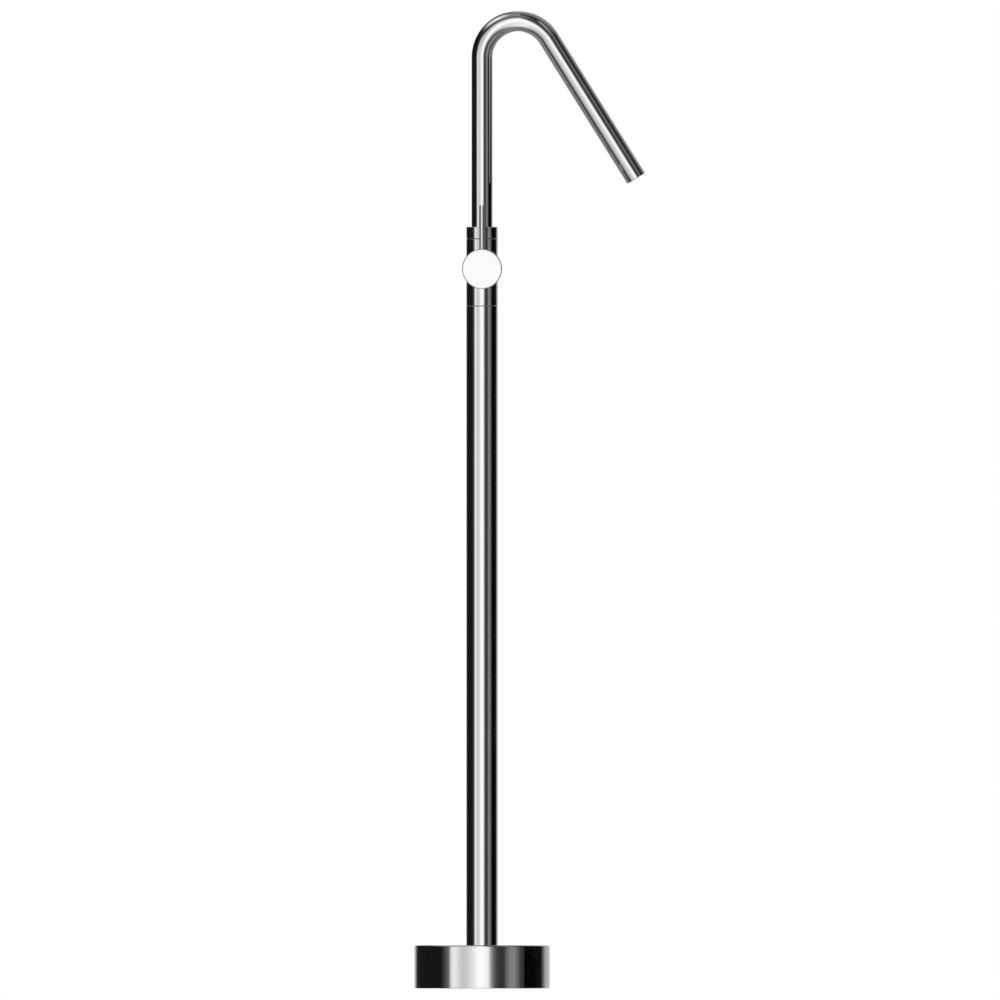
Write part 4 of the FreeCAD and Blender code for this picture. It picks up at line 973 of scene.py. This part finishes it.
def pipe(name, stations, along, outer, inner, steps=192):
    """A tube along a flat line: station + radius * (cos a * out + sin a * across), out in the line's
    plane and across square to it. The outer skin runs forward and the bore back, as one closed skin."""
    across = np.array([0, 1, 0])
    out = np.cross(across, along)
    angle = np.linspace(0, 2 * np.pi, steps, endpoint=False)[None, :, None]
    circle = np.cos(angle) * out[:, None] + np.sin(angle) * across
    skins = stations[:, None] + outer * circle, (stations[:, None] + inner * circle)[::-1]
    return skin(name, np.concatenate(skins))


stations, along = spout_line()
spout = pipe("spout_pipe", stations, along, SPOUT * MM, (SPOUT - SPOUT_WALL) * MM)
bore_faces = np.arange(len(spout.data.polygons)) >= len(spout.data.polygons) // 2
settle(spout, "spout", "spout_tube", bore_faces)

# %% Rim of the tip
RIM_SLEEVE = SPOUT - SPOUT_WALL - FIT
RIM_DEPTH = 12
RIM_BORE = 9.6
RIM_LIP = 0.8  # how far the lip reaches in, and how thick it is
TIP = stations[-1] + along[-1] * TIP_RIM * MM

rim = turned("spout_tip_rim", rounded(
    (RIM_BORE - RIM_LIP, -RIM_LIP), (RIM_BORE - RIM_LIP, 0, 0.15), (SPOUT, 0, 0.8), (SPOUT, -TIP_RIM, 0.25),
    (RIM_SLEEVE, -TIP_RIM), (RIM_SLEEVE, -RIM_DEPTH), (RIM_BORE, -RIM_DEPTH), (RIM_BORE, -RIM_LIP)),
    TIP, along[-1], steps=192)
settle(rim, "spout", "aerator_housing")

# %% [markdown]
# ## The screws
#
# All screws are stainless steel with a hexagon socket. A thread is one surface: the radius falls and
# rises along the axis, and the pattern moves on by one pitch as it goes round once. So the same turned
# grid gives it, with eight rings to a turn, and the hexagon is cut into its end.

# %% A screw
def screw(name, foot, thread, head, key, depth, centre, axis=(0, 0, 1)):
    """A screw from the corners of its foot, its thread and the corners of its head, with a hexagon socket
    cut into the end. The thread is as in turned, and key is half the hexagon's width."""
    piece = turned(name, rounded(*foot, thread_run(*thread), *head), centre, axis, closed=False, steps=64,
                   thread=thread)
    end = head[-1][1]
    socket = rod(key / math.cos(math.pi / 6), end - depth, end + 1, centre, axis, steps=6)
    shape(piece, "DIFFERENCE", [socket])
    return piece


def grub_screw(name, thread, *rest):
    """A headless screw: its key, depth, centre and axis follow."""
    return screw(name, [(0, thread[1])], thread, [(0, thread[2])], *rest)


def join(name, pieces):
    """One piece made of several that belong to the same node."""
    work = bmesh.new()
    for piece in pieces:
        work.from_mesh(piece.data)
        bpy.data.objects.remove(piece)
    joined = add_object(name, bpy.data.meshes.new(name))
    work.to_mesh(joined.data)
    work.free()
    joined.data.shade_smooth()
    joined.data.set_sharp_from_angle(angle=SHARP)
    return joined


# %% Grub screws
HEX_KEY = 1.6  # half the width of the key for the grub screws
STOP_POINT = 1.8  # radius of the stop screw's thinner point
POINT_LENGTH = 2.7
BACK_CREST = BACK_SCREW - FIT
COLUMN_CREST = 3 - FIT

behind = high("column_fixing_screw", Y)
fixing_thread = (BACK_CREST, low("column_fixing_screw", Y), behind, 0.8)
fixing = grub_screw("column_fixing_grub", fixing_thread, HEX_KEY, 2.5, at(z=fixing_level), BACKWARD)
settle(fixing, "column", "column_fixing_screw", finish="steel")
point_end = low("spout_stop_screw", Y)
stop_start = point_end + POINT_LENGTH
stop = screw("spout_stop_grub", [(0, point_end), (STOP_POINT, point_end, 0.3), (STOP_POINT, stop_start)],
             (BACK_CREST, stop_start, behind, 0.8), [(0, behind)], HEX_KEY, 1.7, at(z=stop_level), BACKWARD)
settle(stop, "column", "spout_stop_screw", finish="steel")
handle_grub = grub_screw("handle_grub", (HANDLE_SCREW - FIT, 3.1, 7, 0.7), 1, 2, screw_foot, (0, 0, -1))
settle(handle_grub, "lever", "handle_grub_screw", finish="steel")
grub_foot = at(z=middle("column_grub_screws", Z))
grub_thread = (COLUMN_CREST, COLUMN + FIT, high("column_grub_screws", X), 1)
column_grubs = [grub_screw("grub", grub_thread, HEX_KEY, 3, grub_foot, (math.cos(turn), math.sin(turn), 0))
                for turn in np.radians((0, 120, 240))]
settle(join("column_grubs", column_grubs), "column", "column_grub_screws", finish="steel")

# %% Screws of the socket
SHANK = 2.95
SHANK_FOOT, SHANK_NECK = -14, -1  # the threaded part, from the head's seat
HEAD = 5
HEAD_HEIGHT = 6
SCREW_CIRCLE = 31  # radius of the circle that the four screws stand on

screw_side = SCREW_CIRCLE / math.sqrt(2)
head_seat = high("socket_screws", Z) - HEAD_HEIGHT
head = [(SHANK, SHANK_NECK), (SHANK, 0), (HEAD, 0, 0.2), (HEAD, HEAD_HEIGHT, 0.7), (0, HEAD_HEIGHT)]
cap_screws = [screw("screw", [(0, SHANK_FOOT)], (SHANK, SHANK_FOOT, SHANK_NECK, 1), head, HEAD / 2,
                    HEAD_HEIGHT / 2, at(x * screw_side, y * screw_side, head_seat))
              for x in (-1, 1) for y in (-1, 1)]
settle(join("socket_cap_screws", cap_screws), "column", "socket_screws", finish="steel")

# %% [markdown]
# ## The cartridge's nut
#
# A turned brass ring with a fine thread outside, which clamps the cartridge in the neck. Its collar
# carries the cap. It is one turned outline too, with the thread on the run inside the neck.

# %% Nut
NUT_BORE = CARTRIDGE + FIT
NUT_NECK = 15.3  # radius of the undercut between thread and collar
NUT_MOUTH = 12.05

nut_run = (NUT_THREAD, nut_start, neck_end - 0.8, 1)
nut = turned("cartridge_clamp_nut", rounded(
    (NUT_BORE, nut_start), thread_run(*nut_run), (NUT_NECK, neck_end - 0.8), (NUT_NECK, neck_end),
    (NUT_COLLAR, neck_end, 0.2), (NUT_COLLAR, nut_end, 0.3), (NUT_MOUTH, nut_end, 0.2),
    (NUT_MOUTH, neck_end - 0.25), (NUT_BORE, neck_end - 0.25)), lever_axis, FORWARD, thread=nut_run)
settle(nut, "column", "cartridge_nut", finish="brass")

# %% [markdown]
# ## Seals
#
# The seals are moulded rings of round section that sit in grooves. The CAD model has them with eight
# sides. Here each is a circle carried round a circle.

# %% Seal rings
PORT_SEAL = 0.7  # half the thickness of a port's seal


def seal_ring(radius, section, level, centre=(0, 0, 0), axis=(0, 0, 1)):
    """Ring of round section: (radius + section * cos a, level + section * sin a) turned about the axis."""
    outline = arc((radius, level), section, 0, 345, math.radians(14)) * MM
    return turned("ring", outline, centre, axis, steps=128)


supply_levels = (low("supply_tube_seals", Z) + SUPPLY_SEAL, supply_seal)
supply_rings = [seal_ring(5.925, SUPPLY_SEAL, level, at(side * SUPPLY))
                for side in (-1, 1) for level in supply_levels]
port_middle = -middle("cartridge_port_seals", Y)
port_rings = [seal_ring(radius, PORT_SEAL, port_middle, at(x, 0, level), FORWARD) for radius, x, level in (
    (3.1, -INLET_SIDE, inlet_level), (3.1, INLET_SIDE, inlet_level), (3.7, 0, outlet_level))]
swivel_rings = [seal_ring(12.125, 0.9, UPPER_SEAM - drop) for drop in (15, 11)]
for name, rings, body, node in (
        ("supply_rings", supply_rings, "column", "supply_tube_seals"),
        ("cover_ring", [seal_ring(20.3, 1.2, seal)], "column", "base_cover_seal"),
        ("spigot_ring", [seal_ring(16.625, 0.9, spigot_seal)], "column", "valve_body_seal"),
        ("port_rings", port_rings, "column", "cartridge_port_seals"),
        ("swivel_rings", swivel_rings, "spout", "spout_seals")):
    settle(join(name, rings), body, node, finish="seal_rubber")

# %% [markdown]
# ## The flow straightener
#
# A moulded disc behind the rim of the tip sends the water out as one clear stream. Its holes widen a
# little at both faces, as they do on a moulded one so that it leaves its tool.

# %% Straightener
DISC = RIM_BORE - FIT
DISC_BACK = -3.8
HOLE = 0.8
HOLE_MOUTH = 1.25
HOLE_SPACING = 2.9  # between the rings of holes
FUNNEL = 0.4  # depth of a hole's wider mouth

straightener = turned("flow_straightener", rounded(
    (0, DISC_BACK), (DISC, DISC_BACK, 0.3), (DISC, -RIM_LIP, 0.3), (0, -RIM_LIP)),
    TIP, along[-1], closed=False, steps=192)
across = np.array([0, 1, 0])
out = np.cross(across, along[-1])
funnel = rounded(
    (0, DISC_BACK - 0.3), (HOLE_MOUTH, DISC_BACK - 0.3), (HOLE, DISC_BACK + FUNNEL),
    (HOLE, -RIM_LIP - FUNNEL), (HOLE_MOUTH, 0.3 - RIM_LIP), (0, 0.3 - RIM_LIP))
holes = []
for row, count in enumerate((1, 6, 12)):
    for turn in np.linspace(0, 2 * np.pi, count, endpoint=False):
        centre = TIP + row * HOLE_SPACING * MM * (np.cos(turn) * out + np.sin(turn) * across)
        holes.append(turned("tool", funnel, centre, along[-1], closed=False, steps=32))
shape(straightener, "DIFFERENCE", holes)
settle(straightener, "spout", "aerator_insert", finish="bearing_plastic")

# %% [markdown]
# ## Finishes on the frame's own nodes
#
# The plate, the socket, the tubes and the cartridge's inner parts are plain turned, cut or moulded
# shapes, and their nodes already have them. They keep their meshes, and every node takes the finish that
# its slot names.

# %% Finishes on the CAD nodes
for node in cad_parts.values():
    for holder in node.material_slots:
        slot_name = holder.material.name.split(".")[0]
        holder.material = FINISHES[slot_name]
print("dressed", len(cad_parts), "nodes")
